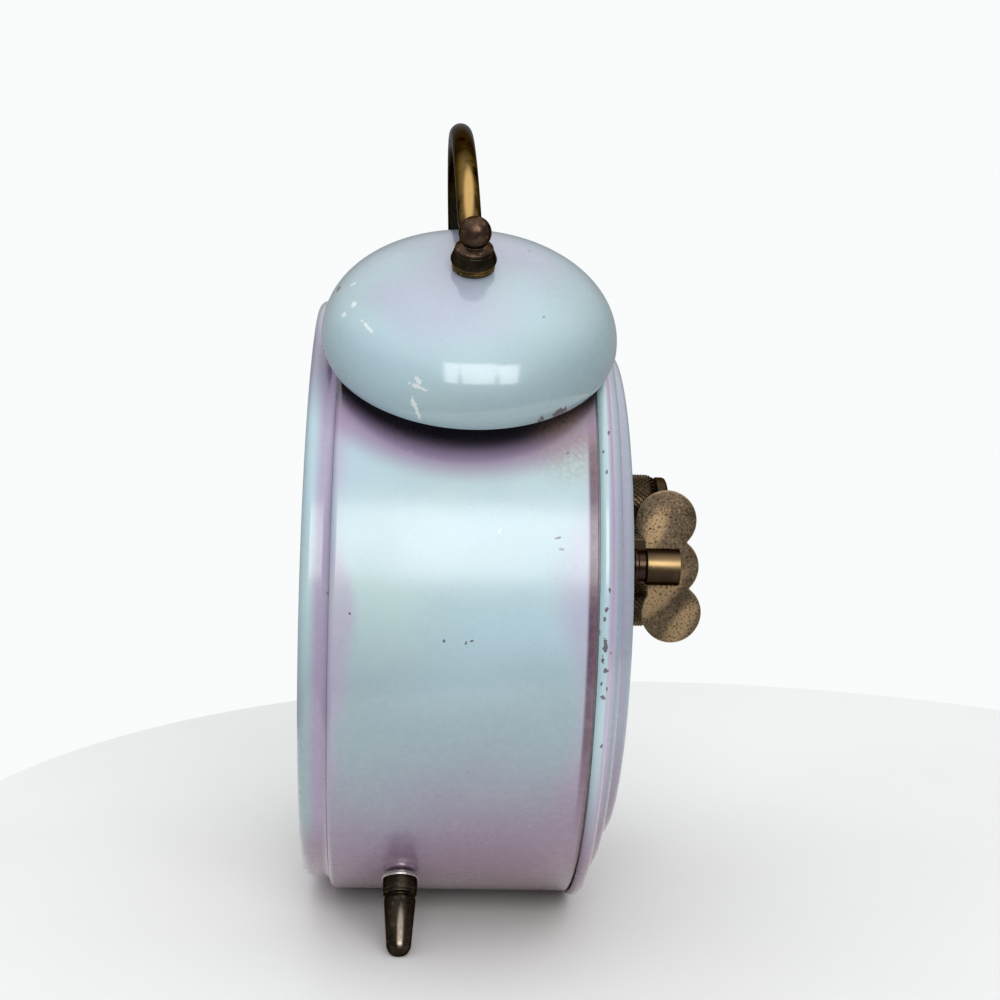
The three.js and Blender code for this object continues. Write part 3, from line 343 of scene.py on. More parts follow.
drum_profile = [
    (drum_radius, 21.0),
    *arc((54.0, -20.0), 1.0, 0, -90, 6),
    (48.5, -21.0),
    (48.5, -20.1),
    *arc((52.8, -18.8), 1.3, -90, 0, 4),
    (54.1, 21.0),
]
drum = turned(drum_profile, 160, 0.12)
slot_length, slot_width, slot_corner = 9.0, 4.6, 2.0
stop_level, stop_hole = 12.0, 1.5
cut_depth = 12.0
hammer_slot = bmesh.new()
bmesh.ops.create_cube(hammer_slot, size=1.0)
hammer_slot.transform(Matrix.Diagonal((slot_length, slot_width, cut_depth, 1)))
upright = [edge for edge in hammer_slot.edges if abs(edge.verts[0].co.z - edge.verts[1].co.z) > 1]
bmesh.ops.bevel(
    hammer_slot, geom=upright, offset=slot_corner, segments=6, profile=0.5, affect="EDGES", material=-1,
)
drill(hammer_slot, stop_hole, cut_depth, Matrix.Translation((0, stop_level, 0)))
hammer_slot.transform(Matrix.Translation((0, 0, drum_radius)))
drum = pierced(drum, hammer_slot)
# Painted shade: the enamel goes grey, mauve and rose towards the bottom and the lower back.
low_shade_mauve = ((0, 0, 1), -14.0, -38.0, 0.95, enamel_shade_mauve)
low_shade_grey = ((0, 0, 1), 6.0, -16.0, 0.85, enamel_shade_grey)
low_shade_rose = ((0, 0, 1), -30.0, -48.0, 0.85, tone(129, 93, 118))
back_shade_rose = ((0, 0.6, -0.8), 20.0, 42.0, 0.6, tone(134, 104, 130))
# Painted shade in lilac by the front edge and the back seam, darkest at the bottom, with dark seam lines at
# the back edge.
drum_hazes = [
    low_shade_grey,
    ((0, 1, 0), -18.0, -20.8, 0.5, enamel_shade_lilac),
    ((0, 1, 0), 15.0, 20.5, 0.45, enamel_shade_lilac),
    ((0, 1, 0), 19.2, 19.85, 0.95, tone(80, 32, 68)),
    low_shade_mauve,
    back_shade_rose,
    low_shade_rose,
    ((0, 0, 1), -42.0, -53.0, 0.8, tone(98, 58, 74)),
    ((0, 1, 0), 20.4, 20.6, 0.9, tone(104, 66, 78)),
]
drum_marks = [
    ((54.84, -17.59, 4.21), (0, 0.3, 1), 0.24, 0.2),
    ((54.99, -2.92, 0.3), (0, 0.3, 1), 0.3, 0.22),
    ((54.98, 0.51, 0.06), (0, 0.3, 1), 0.28, 0.2),
    ((55.0, 1.44, 0.4), (0, 1, 0.2), 0.24, 0.18),
    ((52.44, 14.55, 16.56), (0, 1, 0.25), 0.6, 0.16),
]
drum_scuffs = [((52.16, 5.4, 17.45), (0, 0.4, 1), 1.5, 0.2)]
under_bells = [
    (side * drum_radius * math.sin(bell_lean), bell_setback, drum_radius * math.cos(bell_lean))
    for side in (1, -1)
]
# Painted shadow under each bell: near black by its rim, fading out through lilac.
drum_bell_shadows = [
    *[(spot, 24.2, 28.8, 0.85, tone(150, 118, 158)) for spot in under_bells],
    *[(spot, 20.3, 24.8, 0.97, tone(26, 14, 26)) for spot in under_bells],
]
drum_stain = ((45.0, 17.5, 31.5), 8.5)
drum_enamel = enamel(
    "drum_enamel", drum_hazes, stain=drum_stain, marks=drum_marks, scuffs_and_reflections=drum_scuffs, painted_shadows=drum_bell_shadows,
    dull=0.2,
)
add_piece("case_drum_shell", drum, on_case, drum_enamel, "case", "case_paint", "case_drum")


# Front bezel
# A spun steel ring pressed over the front of the drum, enamelled with it. Its rounded outer edge
# stands in from the drum, and its lip holds the crystal.
bezel_profile = [
    (53.7, -21.05),
    (53.35, -21.3),
    (53.1, -21.75),
    (53.0, -22.3),
    *arc((51.4, -24.2), 1.6, 0, -90, 6),
    (49.1, -25.8),
    (46.8, -22.7),
    (49.7, -22.7),
    (49.7, -21.3),
]
# Painted shade on the bezel: a shadow under each bell, lilac at its back edge and top, and grey, mauve and
# rose lower down.
bezel_bell_shadows = [(spot, 19.0, 28.0, 0.85, tone(112, 90, 134)) for spot in under_bells]
bezel_enamel = enamel("bezel_enamel", [
    low_shade_grey,
    ((0, 1, 0), -24.4, -22.6, 0.7, tone(166, 132, 174)),
    ((0, 0, 1), -28.0, -44.0, 0.6, enamel_shade_mauve),
    ((0, 0.5, -0.87), 15.0, 29.0, 0.75, tone(132, 86, 114)),
    ((0, 0, 1), 36.0, 50.0, 0.5, enamel_shade_lilac),
], painted_shadows=bezel_bell_shadows)
bezel = turned(bezel_profile, 160, 0.22)
add_piece("bezel_ring", bezel, on_case, bezel_enamel, "case", "case_paint", "front_bezel")


# Crystal
# A domed glass, ground flat at its rim and held under the bezel's lip. It is clear face on, and
# mirrors the room where it is seen at a slant.
dome_rise = 6.0
rim_front, rim_back = -22.4, -21.3
rim_radius = 49.4
dome_shares = [i / 16 for i in range(17)]
crystal_profile = [
    *[(46.5 * share, rim_front - dome_rise * (1 - share * share)) for share in dome_shares],
    (rim_radius, rim_front),
    (rim_radius, rim_back),
    *[(46.0 * share, rim_back - dome_rise * (1 - share * share)) for share in reversed(dome_shares)],
]
crystal_glass, surface, coords = new_finish("crystal_glass")
facing = add_node(crystal_glass, "LayerWeight", Blend=0.5).outputs["Facing"]
graze = sums(crystal_glass, "MULTIPLY", sums(crystal_glass, "POWER", facing, 5.0), 0.9)
smear = fade(crystal_glass, noise(crystal_glass, coords, 55.0, 4.0, 0.6, 1.0), 0.45, 0.8, 0.05)
plug(
    crystal_glass, surface, Base_Color=(0.95, 0.98, 1.0, 1.0), Metallic=1.0,
    Alpha=sums(crystal_glass, "ADD", graze, 0.04), Roughness=sums(crystal_glass, "ADD", smear, 0.03),
)
crystal = turned(crystal_profile)
add_piece("crystal_dome", crystal, on_case, crystal_glass, "case", "crystal_glass", "crystal")


# Dial
# A tinplate disc printed in black: minute track, hour numbers and a small alarm circle. It is
# clamped behind the drum's front lip, and has yellowed a little.
dial_paint, surface, coords = new_finish("dial_paint")
yellowed = fade(dial_paint, noise(dial_paint, coords, 42.0, 5.0, 0.6), 0.35, 0.75, 0.6)
dial_colour = mixed(dial_paint, yellowed, tone(240, 236, 222), tone(228, 217, 190))
foxing = fade(dial_paint, noise(dial_paint, coords, 330.0, 2.0), 0.74, 0.82, 0.35)
dial_colour = mixed(dial_paint, foxing, dial_colour, tone(176, 146, 104))
plug(dial_paint, surface, Base_Color=dial_colour, Roughness=0.55)


def refinish(solid, finish):
    """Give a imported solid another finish."""
    solid.data.materials.clear()
    solid.data.materials.append(finish)


def two_tone(name, first, second, scale, low, high, share=1.0, detail=3.0, **sockets):
    """A plain finish with soft patches of a second colour."""
    finish, surface, coords = new_finish(name)
    patches = fade(finish, noise(finish, coords, scale, detail), low, high, share)
    plug(finish, surface, Base_Color=mixed(finish, patches, first, second), **sockets)
    return finish


def picked(items, kind):
    """The Verts, Edges or Faces among what an operator gives back."""
    return [item for item in items if isinstance(item, getattr(bmesh.types, "BM" + kind))]


refinish(frame["nodes"]["dial_plate"], dial_paint)
dial_ink = two_tone("dial_ink", tone(24, 24, 28), tone(52, 50, 52), 700.0, 0.35, 0.8, 0.5, Roughness=0.5)
dial_front = -19.8
print_depth = 0.05
track_inner, track_outer = 43.0, 45.2
number_circle, number_height = 37.4, 9.4
alarm_height, alarm_circle = 16.4, 9.6


def printed_ring(shape, centre, radius, width):
    """A flat inked ring on the dial."""
    ring = bmesh.ops.create_circle(shape, cap_ends=False, segments=128, radius=radius - width / 2)["verts"]
    edges = list({edge for vert in ring for edge in vert.link_edges})
    grown = bmesh.ops.extrude_edge_only(shape, edges=edges)["geom"]
    outer = picked(grown, "Vert")
    bmesh.ops.scale(shape, vec=[(radius + width / 2) / (radius - width / 2)] * 2 + [1], verts=outer)
    bmesh.ops.translate(shape, vec=(*centre, 0), verts=ring + outer)


def printed_tick(shape, centre, turn, inner, outer, width):
    """A flat inked bar that points at a centre, at a clockwise turn in degrees from twelve."""
    bar = bmesh.ops.create_grid(shape, x_segments=1, y_segments=1, size=0.5)["verts"]
    bmesh.ops.scale(shape, vec=(width, outer - inner, 1), verts=bar)
    bmesh.ops.translate(shape, vec=(0, (inner + outer) / 2, 0), verts=bar)
    aim = Matrix.Rotation(-math.radians(turn), 3, "Z")
    bmesh.ops.rotate(shape, cent=(0, 0, 0), matrix=aim, verts=bar)
    bmesh.ops.translate(shape, vec=(*centre, 0), verts=bar)


def printed_number(shape, words, centre, height):
    """A number in plain type, added to a flat shape."""
    text = bpy.data.curves.new("number", "FONT")
    text.body = words
    text.size = height
    text.align_x = "CENTER"
    text.align_y = "CENTER"
    text.offset = 0.012 * height
    text.resolution_u = 6
    work = show("number", text)
    bpy.context.view_layer.update()
    mesh = bpy.data.meshes.new_from_object(work.evaluated_get(bpy.context.evaluated_depsgraph_get()))
    low = Vector([min(v.co[i] for v in mesh.vertices) for i in range(3)])
    high = Vector([max(v.co[i] for v in mesh.vertices) for i in range(3)])
    mesh.transform(Matrix.Translation(Vector((*centre, 0)) - (low + high) / 2))
    shape.from_mesh(mesh)
    bpy.data.objects.remove(work)
    bpy.data.curves.remove(text)
    bpy.data.meshes.remove(mesh)


track = bmesh.new()
for radius in (track_inner, track_outer):
    printed_ring(track, (0, 0), radius, 0.28)
for minute in range(60):
    printed_tick(track, (0, 0), 6 * minute, track_inner, track_outer, 0.3 if minute % 5 else 0.9)
printed_ring(track, (0, alarm_height), alarm_circle, 0.22)
for hour in range(12):
    inner, width = (8.4, 0.25) if hour % 3 else (7.7, 0.45)
    printed_tick(track, (0, alarm_height), 30 * hour, inner, alarm_circle, width)
numbers = bmesh.new()
for hour in range(1, 13):
    turn = math.radians(30 * hour)
    place = (number_circle * math.sin(turn), number_circle * math.cos(turn))
    printed_number(numbers, str(hour), place, number_height)
on_dial = on_case @ Matrix.Translation((0, dial_front, 0)) @ Matrix.Rotation(math.radians(90), 4, "X")
for name, shape in (("dial_track", track), ("dial_numbers", numbers)):
    bmesh.ops.remove_doubles(shape, verts=shape.verts[:], dist=1e-4)
    face_out(shape)
    bmesh.ops.reverse_faces(shape, faces=[face for face in shape.faces if face.normal.z < 0])
    grown = bmesh.ops.extrude_face_region(shape, geom=shape.faces[:])["geom"]
    bmesh.ops.translate(shape, vec=(0, 0, print_depth), verts=picked(grown, "Vert"))
    face_out(shape)
    add_piece(name, shape, on_dial, dial_ink, "case", "dial_face")


# Hands
# Stamped steel blades on round bosses, pushed on their arbors in front of the dial: hour and minute
# hands in black lacquer, and the alarm hand in red.
hand_black = two_tone(
    "hand_black", tone(20, 20, 24), tone(58, 56, 58), 600.0, 0.5, 0.9, 0.5, Roughness=0.32,
)
hand_red = two_tone(
    "hand_red", tone(158, 34, 28), tone(120, 40, 34), 600.0, 0.5, 0.9, 0.5, Roughness=0.36,
)
hand_thickness = 0.5
hand_edge = 0.38


def blade(length, boss, bore, front, turn):
    """A pointed blade with a ridge down its middle, and a bored boss."""
    width = 0.05 * length + 0.5
    shape = turned([(bore, 0.0), (boss, 0.0), (boss, hand_thickness), (bore, hand_thickness)], 48, 0.1)
    root, shoulder = 0.75 * boss, 0.55 * length
    corners = [(-width / 2, root), (width / 2, root), (width, shoulder), (0, length), (-width, shoulder)]
    face = shape.faces.new([shape.verts.new((x, hand_thickness, z)) for x, z in corners])
    grown = bmesh.ops.extrude_face_region(shape, geom=[face])["geom"]
    front_face = picked(grown, "Face")[0]
    bmesh.ops.translate(shape, vec=(0, -hand_edge, 0), verts=picked(grown, "Vert"))
    bmesh.ops.inset_individual(shape, faces=[front_face], thickness=0.3 * width, depth=0.0)
    bmesh.ops.translate(shape, vec=(0, hand_edge - hand_thickness, 0), verts=front_face.verts[:])
    face_out(shape)
    shape.transform(Matrix.Translation((0, front, 0)) @ Matrix.Rotation(math.radians(turn), 4, "Y"))
    return shape


on_alarm = on_case @ Matrix.Translation((0, 0, alarm_height))
minute_blade = blade(34.0, 2.6, 1.5, -23.0, 60)
hour_blade = blade(22.0, 4.0, 2.5, -21.7, 305)
alarm_blade = blade(8.0, 2.4, 1.5, -20.7, 210)
add_piece("minute_blade", minute_blade, on_case, hand_black, "hands", "hand_black", "minute_hand")
add_piece("hour_blade", hour_blade, on_case, hand_black, "hour", "hand_black", "hour_hand")
add_piece("alarm_blade", alarm_blade, on_alarm, hand_red, "alarm_setting", "alarm_red", "alarm_hand")


# Back cover
# A pressed steel lid with two drawn steps and a shallow dome, its skirt pushed into the drum and its
# beaded rim standing a little proud. Knocks have chipped the rim's enamel.
arbor_side, arbor_height = 22.0, 8.2
arbor_hole, knob_hole = 2.4, 1.8
hole_middle, hole_length = 27.0, 20.0
cover_profile = [
    (0.0, 29.4),
    (10.0, 29.32),
    (20.0, 29.08),
    (30.0, 28.75),
    (38.0, 28.4),
    *arc((44.0, 27.0), 1.1, 85, 0, 5),
    (45.5, 25.9),
    *arc((50.1, 24.5), 1.0, 90, 0, 5),
    (51.5, 23.9),
    *arc((54.6, 22.3), 1.15, 90, -60, 8),
    (53.8, 21.3),
    (53.8, 16.2),
    (53.0, 16.2),
    (53.0, 22.6),
    (44.2, 22.6),
    (44.2, 26.4),
    (0.0, 28.5),
]
cover = turned(cover_profile, 160)
cover_holes = bmesh.new()
for x, z, radius in (
    (arbor_side, arbor_height, arbor_hole),
    (-arbor_side, arbor_height, arbor_hole),
    (0.0, 0.0, knob_hole),
    (0.0, alarm_height, knob_hole),
):
    through = Matrix.Translation((x, hole_middle, z)) @ Matrix.Rotation(math.radians(90), 4, "X")
    drill(cover_holes, radius, hole_length, through)
cover = pierced(cover, cover_holes)
cover_marks = [
    ((54.89, 22.68, 8.86), (0, 0, 1), 0.5, 0.2),
    ((55.41, 22.25, 5.89), (0, 0, 1), 0.4, 0.28),
    ((55.47, 22.0, 4.4), (0, 0, 1), 0.4, 0.2),
    ((55.74, 22.25, 0.14), (0, 0, 1), 1.6, 0.38),
    ((55.61, 21.95, -1.98), (0, 0, 1), 0.7, 0.22),
    ((55.55, 22.47, -3.89), (0, 0, 1), 0.55, 0.44),
    ((55.31, 21.88, -5.88), (0, 0, 1), 0.36, 0.2),
    ((55.17, 22.75, -6.75), (0, 0, 1), 0.36, 0.2),
    ((55.14, 22.28, -8.11), (0, 0, 1), 0.4, 0.44),
    ((53.2, 22.54, -16.32), (-0.3, 0, 0.95), 0.65, 0.26),
    ((44.83, 22.82, 32.82), (0.6, 0, -0.8), 0.4, 0.24),
    ((39.4, 25.3, 32.4), (0.6, 0, -0.8), 0.5, 0.18),
    ((46.94, 21.85, 29.82), (0.5, 0, -0.8), 0.36, 0.24),
    ((48.81, 22.27, 26.9), (0.5, 0, -0.8), 0.4, 0.22),
]
# Painted shade on the cover: lilac from the rim back, darker grey from the first step back, and mauve and
# rose towards the bottom.
cover_hazes = [
    ((0, 1, 0), 22.5, 22.9, 0.65, enamel_shade_lilac),
    ((0, 1, 0), 24.2, 24.8, 0.8, enamel_shade_grey),
    ((0, 1, 0), 25.3, 25.6, 0.35, enamel_shade_lilac),
    ((0, 1, 0), 26.4, 27.6, 0.6, enamel_shade_grey),
    low_shade_mauve,
    low_shade_rose,
]
cover_enamel = enamel("cover_enamel", cover_hazes, marks=cover_marks)
add_piece("cover_lid", cover, on_case, cover_enamel, "case", "case_paint", "back_cover")


# Feet
# Turned brass pegs, gone dark, with a collar and a groove under a bright washer. A stud through the
# drum is riveted inside, and each tip is worn flat where it stands.
def aged_brass(name, dark, middle, bright, highlight_band=None, rough=0.36, scale=260.0):
    """Brass under a dark patina that is worn through to brighter metal in places. A band, given by its
    direction and where it starts, is full, wanes and is gone, carries a painted highlight."""
    finish, surface, coords = new_finish(name)
    patches = noise(finish, coords, scale, 5.0, 0.6)
    colour = mixed(finish, fade(finish, patches, 0.3, 0.62), dark, middle)
    grain = noise(finish, coords, scale * 5, 2.0)
    rubbed_and_highlight = fade(finish, grain, 0.56, 0.72, 0.6)
    # The band is a painted highlight, laid over the worn specks.
    if highlight_band:
        direction, *levels = highlight_band
        start, full, wane, gone = [case_level(direction, level) for level in levels]
        level = along(finish, coords, direction)
        painted_band = sums(
            finish, "MULTIPLY", fade(finish, level, start, full), fade(finish, level, gone, wane),
        )
        painted_band = sums(finish, "MULTIPLY", painted_band, fade(finish, patches, 0.25, 0.6))
        rubbed_and_highlight = sums(finish, "MAXIMUM", sums(finish, "MULTIPLY", rubbed_and_highlight, 0.3), painted_band)
    colour = mixed(finish, rubbed_and_highlight, colour, bright)
    spread = fade(finish, patches, 0.3, 0.7, 0.2)
    bump = add_node(finish, "Bump", Strength=0.12, Distance=0.0003, Height=grain)
    plug(
        finish, surface, Base_Color=colour, Metallic=1.0, Specular_Tint=(0.4, 0.37, 0.33, 1.0),
        Roughness=sums(finish, "ADD", spread, rough - 0.1), Normal=bump.outputs[0],
    )
    return finish


def own_coords(finish):
    return finish.node_tree.nodes["Texture Coordinate"].outputs["Object"]


def overlaid(finish, mask, tint):
    """Lay a colour over a finish where a mask is 1."""
    socket = finish.node_tree.nodes["Principled BSDF"].inputs["Base Color"]
    finish.node_tree.links.new(mixed(finish, mask, socket.links[0].from_socket, tint), socket)


foot_brass = aged_brass("foot_brass", tone(36, 32, 26), tone(58, 51, 42), tone(96, 86, 70), None, 0.26)
coords = own_coords(foot_brass)
# A painted highlight stripe down the front of each peg.
for side in (1, -1):
    foot_highlight = ((side * 41.4, -8.5, -51.5), (side * 0.6, 0, -0.8), 6.2, 0.75)
    overlaid(foot_brass, stroke(foot_brass, coords, *foot_highlight, strength=0.75), tone(158, 146, 130))
steel_bright, surface, coords = new_finish("steel_bright")
steel_grain = noise(steel_bright, coords, 900.0, 2.0)
steel_share = fade(steel_bright, steel_grain, 0.3, 0.7)
steel_tone = mixed(steel_bright, steel_share, tone(188, 182, 176), tone(214, 210, 204))
steel_rough = sums(steel_bright, "ADD", fade(steel_bright, steel_grain, 0.3, 0.7, 0.15), 0.2)
plug(steel_bright, surface, Base_Color=steel_tone, Metallic=1.0, Roughness=steel_rough)

foot_lean = 36.8
foot_level = -8.7
tip_radius = 2.1
tip_wear = 0.35
foot_tip = (on_case.translation.z + tip_wear - tip_radius) / math.cos(math.radians(foot_lean))
foot_profile = [
    (0.0, 52.3), (2.4, 52.3), (2.4, 53.6), (1.4, 53.6), (1.4, 56.4), (2.95, 56.4), (2.95, 58.2),
    (2.8, 58.45), (2.85, 58.6), (2.85, 59.0), (2.3, 59.2), (2.3, 59.45), (2.62, 59.65), (2.7, 60.1),
    *arc((0, foot_tip), tip_radius, 0, 88, 12),
    (0.0, foot_tip + tip_radius),
]
washer_profile = [(1.7, 55.3), (2.55, 55.3), (2.55, 55.8), (3.2, 55.85), (3.2, 56.35), (1.7, 56.35)]
for side, angle in (("right", 180 - foot_lean), ("left", foot_lean - 180)):
    place = along_radius(angle, foot_level)
    peg = turned(foot_profile, 64, 0.1)
    peg.transform(place)
    ground = bmesh.ops.bisect_plane(
        peg, geom=peg.verts[:] + peg.edges[:] + peg.faces[:], plane_co=(0, 0, 0), plane_no=(0, 0, -1),
        clear_outer=True,
    )
    bmesh.ops.edgenet_fill(peg, edges=picked(ground["geom_cut"], "Edge"))
    face_out(peg)
    add_piece(f"foot_peg_{side}", peg, Matrix.Identity(4), foot_brass, "case", "aged_brass", f"foot_{side}")
    collar = turned(washer_profile, 64, 0.1)
    add_piece(
        f"foot_collar_{side}", collar, place, steel_bright, "case", "bright_steel", f"foot_washer_{side}",
    )


# Bells
# Two spun steel domes in the same enamel, each on a steel post. The posts are riveted in the drum,
# and the rims are chipped where the hammer and the handle have knocked them.
bell_rim = 56.2
bell_lip = 1.2
bell_steps = 30
bell_sides = (("right", bell_angle), ("left", -bell_angle))


def bell_dome(radius, height):
    """Half of a full oval section, from the lip up to near the crown."""
    power = 2 / 2.2
    points = []
    for step in range(bell_steps - 1):
        turn = step / bell_steps * math.pi / 2
        rise = bell_lip + (height - bell_lip) * math.sin(turn) ** power
        points.append((radius * math.cos(turn) ** power, bell_rim + rise))
    return points


bell_profile = [
    (24.2, bell_rim),
    *bell_dome(24.5, 14.4),
    (1.7, 70.59),
    (1.7, 69.69),
    *reversed(bell_dome(23.6, 13.5)),
    (23.35, bell_rim),
]
post_profile = [
    (0.0, 52.2), (2.6, 52.2), (2.6, 53.6), (1.4, 53.6), (1.4, 55.3), (2.6, 55.3), (2.6, 69.4), (1.4, 69.4),
    (1.4, 73.9), (1.15, 73.9), (1.15, 75.9), (0.0, 75.9),
]
chip_way, chip_width = (0, 1, 0.3), 0.9
bell_chips = [
    ((48.65, 14.33, 35.95), chip_way, 1.3, chip_width),
    ((48.2, 15.2, 36.2), chip_way, 0.9, chip_width),
    ((49.5, 11.4, 35.2), chip_way, 0.7, chip_width),
    ((33.16, -21.34, 54.64), chip_way, 0.6, chip_width),
]
# Pale marks on each bell's front: worn scrapes, and painted reflections of a window.
bell_scuffs_and_reflections = [
    ((36.2, -18.72, 55.45), (0.3, 0.5, 0.6), 0.9, 0.4),
    ((40.78, -18.5, 52.11), (0.3, 0.2, -0.9), 0.9, 0.5),
    ((40.79, -20.13, 50.32), (0.4, 0.5, -0.7), 0.8, 0.5),
    ((45.95, -16.05, 48.45), (0.7, 0.5, -0.5), 2.6, 0.3),
    ((52.75, -8.0, 39.6), (0.3, 0.9, -0.35), 1.7, 0.36),
    ((52.68, -8.0, 40.63), (0.1, 0.5, -0.9), 1.0, 0.4),
    ((52.06, -8.52, 36.96), (-0.15, 0.3, -1.0), 1.2, 0.5),
    ((51.65, -8.0, 35.75), (-0.26, 0.35, -0.9), 2.2, 0.34),
]
for side, angle in bell_sides:
    outward = (math.sin(math.radians(angle)), 0, math.cos(math.radians(angle)))
    sign = math.copysign(1, angle)
    # Painted shade on the bells: darker towards the lower rim and the back, and lilac round the crown. They
    # are also darker towards the top.
    bell_hazes = [
        ((0, 0.45, -0.9), -43.0, -27.0, 0.7, enamel_shade_grey),
        ((0, 0, 1), 48.0, 62.0, 0.9, tone(129, 146, 160)),
        ((0, 1, 0), 3.0, 22.0, 0.7, tone(136, 161, 165)),
        (outward, 67.0, 70.4, 0.3, enamel_shade_lilac),
    ]
    bell_enamel = enamel(
        f"bell_enamel_{side}", bell_hazes, chips=[(outward, 56.0, 57.2, 0.40)],
        marks=[((sign * x, y, z), *size) for (x, y, z), *size in bell_chips],
        scuffs_and_reflections=[((sign * x, y, z), *size) for (x, y, z), *size in bell_scuffs_and_reflections], dull=0.1,
    )
    place = along_radius(angle, bell_setback)
    shell = turned(bell_profile, 144, 0.12)
    add_piece(f"bell_shell_{side}", shell, place, bell_enamel, "case", "case_paint", f"bell_{side}")
    stud = turned(post_profile, 48, 0.15)
    add_piece(f"bell_stud_{side}", stud, place, steel_bright, "case", "bright_steel", f"bell_post_{side}")


# Handle
# One brass rod bent to an arch, its ends hammered flat into eyes that are held over the bells between
# brass washers and ball nuts. The lower part of the near leg carries a painted highlight band and stripe.
# Painted highlight on the near leg: a band over its lower part and a stripe down it.
handle_brass = aged_brass(
    "handle_brass", tone(36, 34, 27), tone(58, 52, 39), tone(116, 92, 55),
    ((1, 0, 0), 22.0, 28.0, 34.0, 36.0), 0.2,
)
handle_highlight = ((32.2, -0.3, 70.9), (0.656, 0, -0.755), 11.0, 1.15)
handle_highlight_mask = stroke(handle_brass, own_coords(handle_brass), *handle_highlight, strength=0.8)
overlaid(handle_brass, handle_highlight_mask, tone(206, 168, 104))
nut_brass = aged_brass("nut_brass", tone(52, 40, 33), tone(84, 66, 54), tone(132, 106, 82), None, 0.3)
washer_brass = aged_brass("washer_brass", tone(76, 62, 38), tone(124, 100, 58), tone(186, 152, 92), None, 0.3)
rod_radius = 2.0
arch_top = 83.7
arch_forward = 0.5
arch_lean = 1.2
eye_middle = 73.05
tongue_length = 8.2
eye_point = Vector((eye_middle * math.sin(bell_lean), bell_setback, eye_middle * math.cos(bell_lean)))
tongue_way = Vector((math.cos(bell_lean), 0, -math.sin(bell_lean)))
arch_end = eye_point - tongue_way * tongue_length
arch_rise = arch_top - arch_end.z
arch_radius = (arch_end.x ** 2 + arch_rise ** 2) / (2 * arch_rise)
arch_centre = arch_top - arch_radius
arch_half = math.atan2(arch_end.x, arch_end.z - arch_centre)


def rod_section(point, way, half_width, half_thickness):
    """Where a round section of unit radius goes: its place, its way along, and its two half sizes."""
    normal = Vector((0, 1, 0)).cross(way).normalized()
    across = way.cross(normal).normalized()
    turn = Matrix((across * half_width, normal * half_thickness, way)).transposed().to_4x4()
    return Matrix.Translation(point) @ turn


def arch_point(turn):
    """A point of the rod's middle line, at an angle from the top of the arch."""
    height = arch_centre + arch_radius * math.cos(turn)
    forward = arch_forward + arch_lean * (height - arch_end.z) / arch_rise
    return Vector((arch_radius * math.sin(turn), bell_setback - forward, height))


stations = []
flattening = ((1.6, 2.9, 0.72), (3.0, 2.6, 0.78), (4.5, 2.3, 1.0), (6.2, 2.08, 1.5))
for distance, *halves in flattening:
    stations.append(rod_section(eye_point - tongue_way * distance, -tongue_way, *halves))
arch_steps = 56
for i in range(1, arch_steps):
    turn = arch_half - 2 * arch_half * i / arch_steps
    way = (arch_point(turn - 0.01) - arch_point(turn + 0.01)).normalized()
    stations.append(rod_section(arch_point(turn), way, rod_radius, rod_radius))
far_eye = Vector((-eye_point.x, eye_point.y, eye_point.z))
far_way = Vector((-tongue_way.x, 0, tongue_way.z))
for distance, *halves in reversed(flattening):
    stations.append(rod_section(far_eye - far_way * distance, far_way, *halves))
arch = bmesh.new()
ring = bmesh.ops.create_circle(arch, cap_ends=False, segments=28, radius=1.0)["verts"]
bmesh.ops.transform(arch, matrix=stations[0], verts=ring)
edges = arch.edges[:]
bmesh.ops.contextual_create(arch, geom=edges)
for before, after in zip(stations, stations[1:]):
    grown = bmesh.ops.extrude_edge_only(arch, edges=edges)["geom"]
    edges = picked(grown, "Edge")
    ring = picked(grown, "Vert")
    bmesh.ops.transform(arch, matrix=after @ before.inverted(), verts=ring)
bmesh.ops.contextual_create(arch, geom=edges)
face_out(arch)
arch.transform(on_case)
eye_profile = [(1.7, 72.06), (3.75, 72.06), (3.75, 72.5), (3.15, 74.02), (1.7, 74.02)]
for side, angle in bell_sides:
    eye = turned(eye_profile, 64, 0.15)
    eye.transform(along_radius(angle, bell_setback))
    work = meshed("eye", eye)
    arch.from_mesh(work)
    bpy.data.meshes.remove(work)
add_piece("handle_arch", arch, Matrix.Identity(4), handle_brass, "case", "aged_brass", "handle")

nut_profile = [
    (0.0, 76.2),
    (1.45, 76.2),
    (1.45, 74.1),
    (3.1, 74.1),
    (3.1, 74.45),
    (2.5, 74.85),
    (1.85, 75.15),
    *arc((0, 77.15), 2.65, -44, 88, 18),
    (0.0, 79.8),
]
cup_profile = [
    (1.7, 70.9), (3.5, 70.9), (3.5, 71.35), (3.3, 71.4), (3.3, 71.55), (3.5, 71.6), (3.4, 72.0), (1.7, 72.0),
]
for side, angle in bell_sides:
    place = along_radius(angle, bell_setback)
    nut = turned(nut_profile, 64, 0.12)
    add_piece(f"ball_knob_{side}", nut, place, nut_brass, "case", "aged_brass", f"ball_nut_{side}")
    cup = turned(cup_profile, 64, 0.06)
    add_piece(f"bell_seat_{side}", cup, place, washer_brass, "case", "aged_brass", f"bell_washer_{side}")


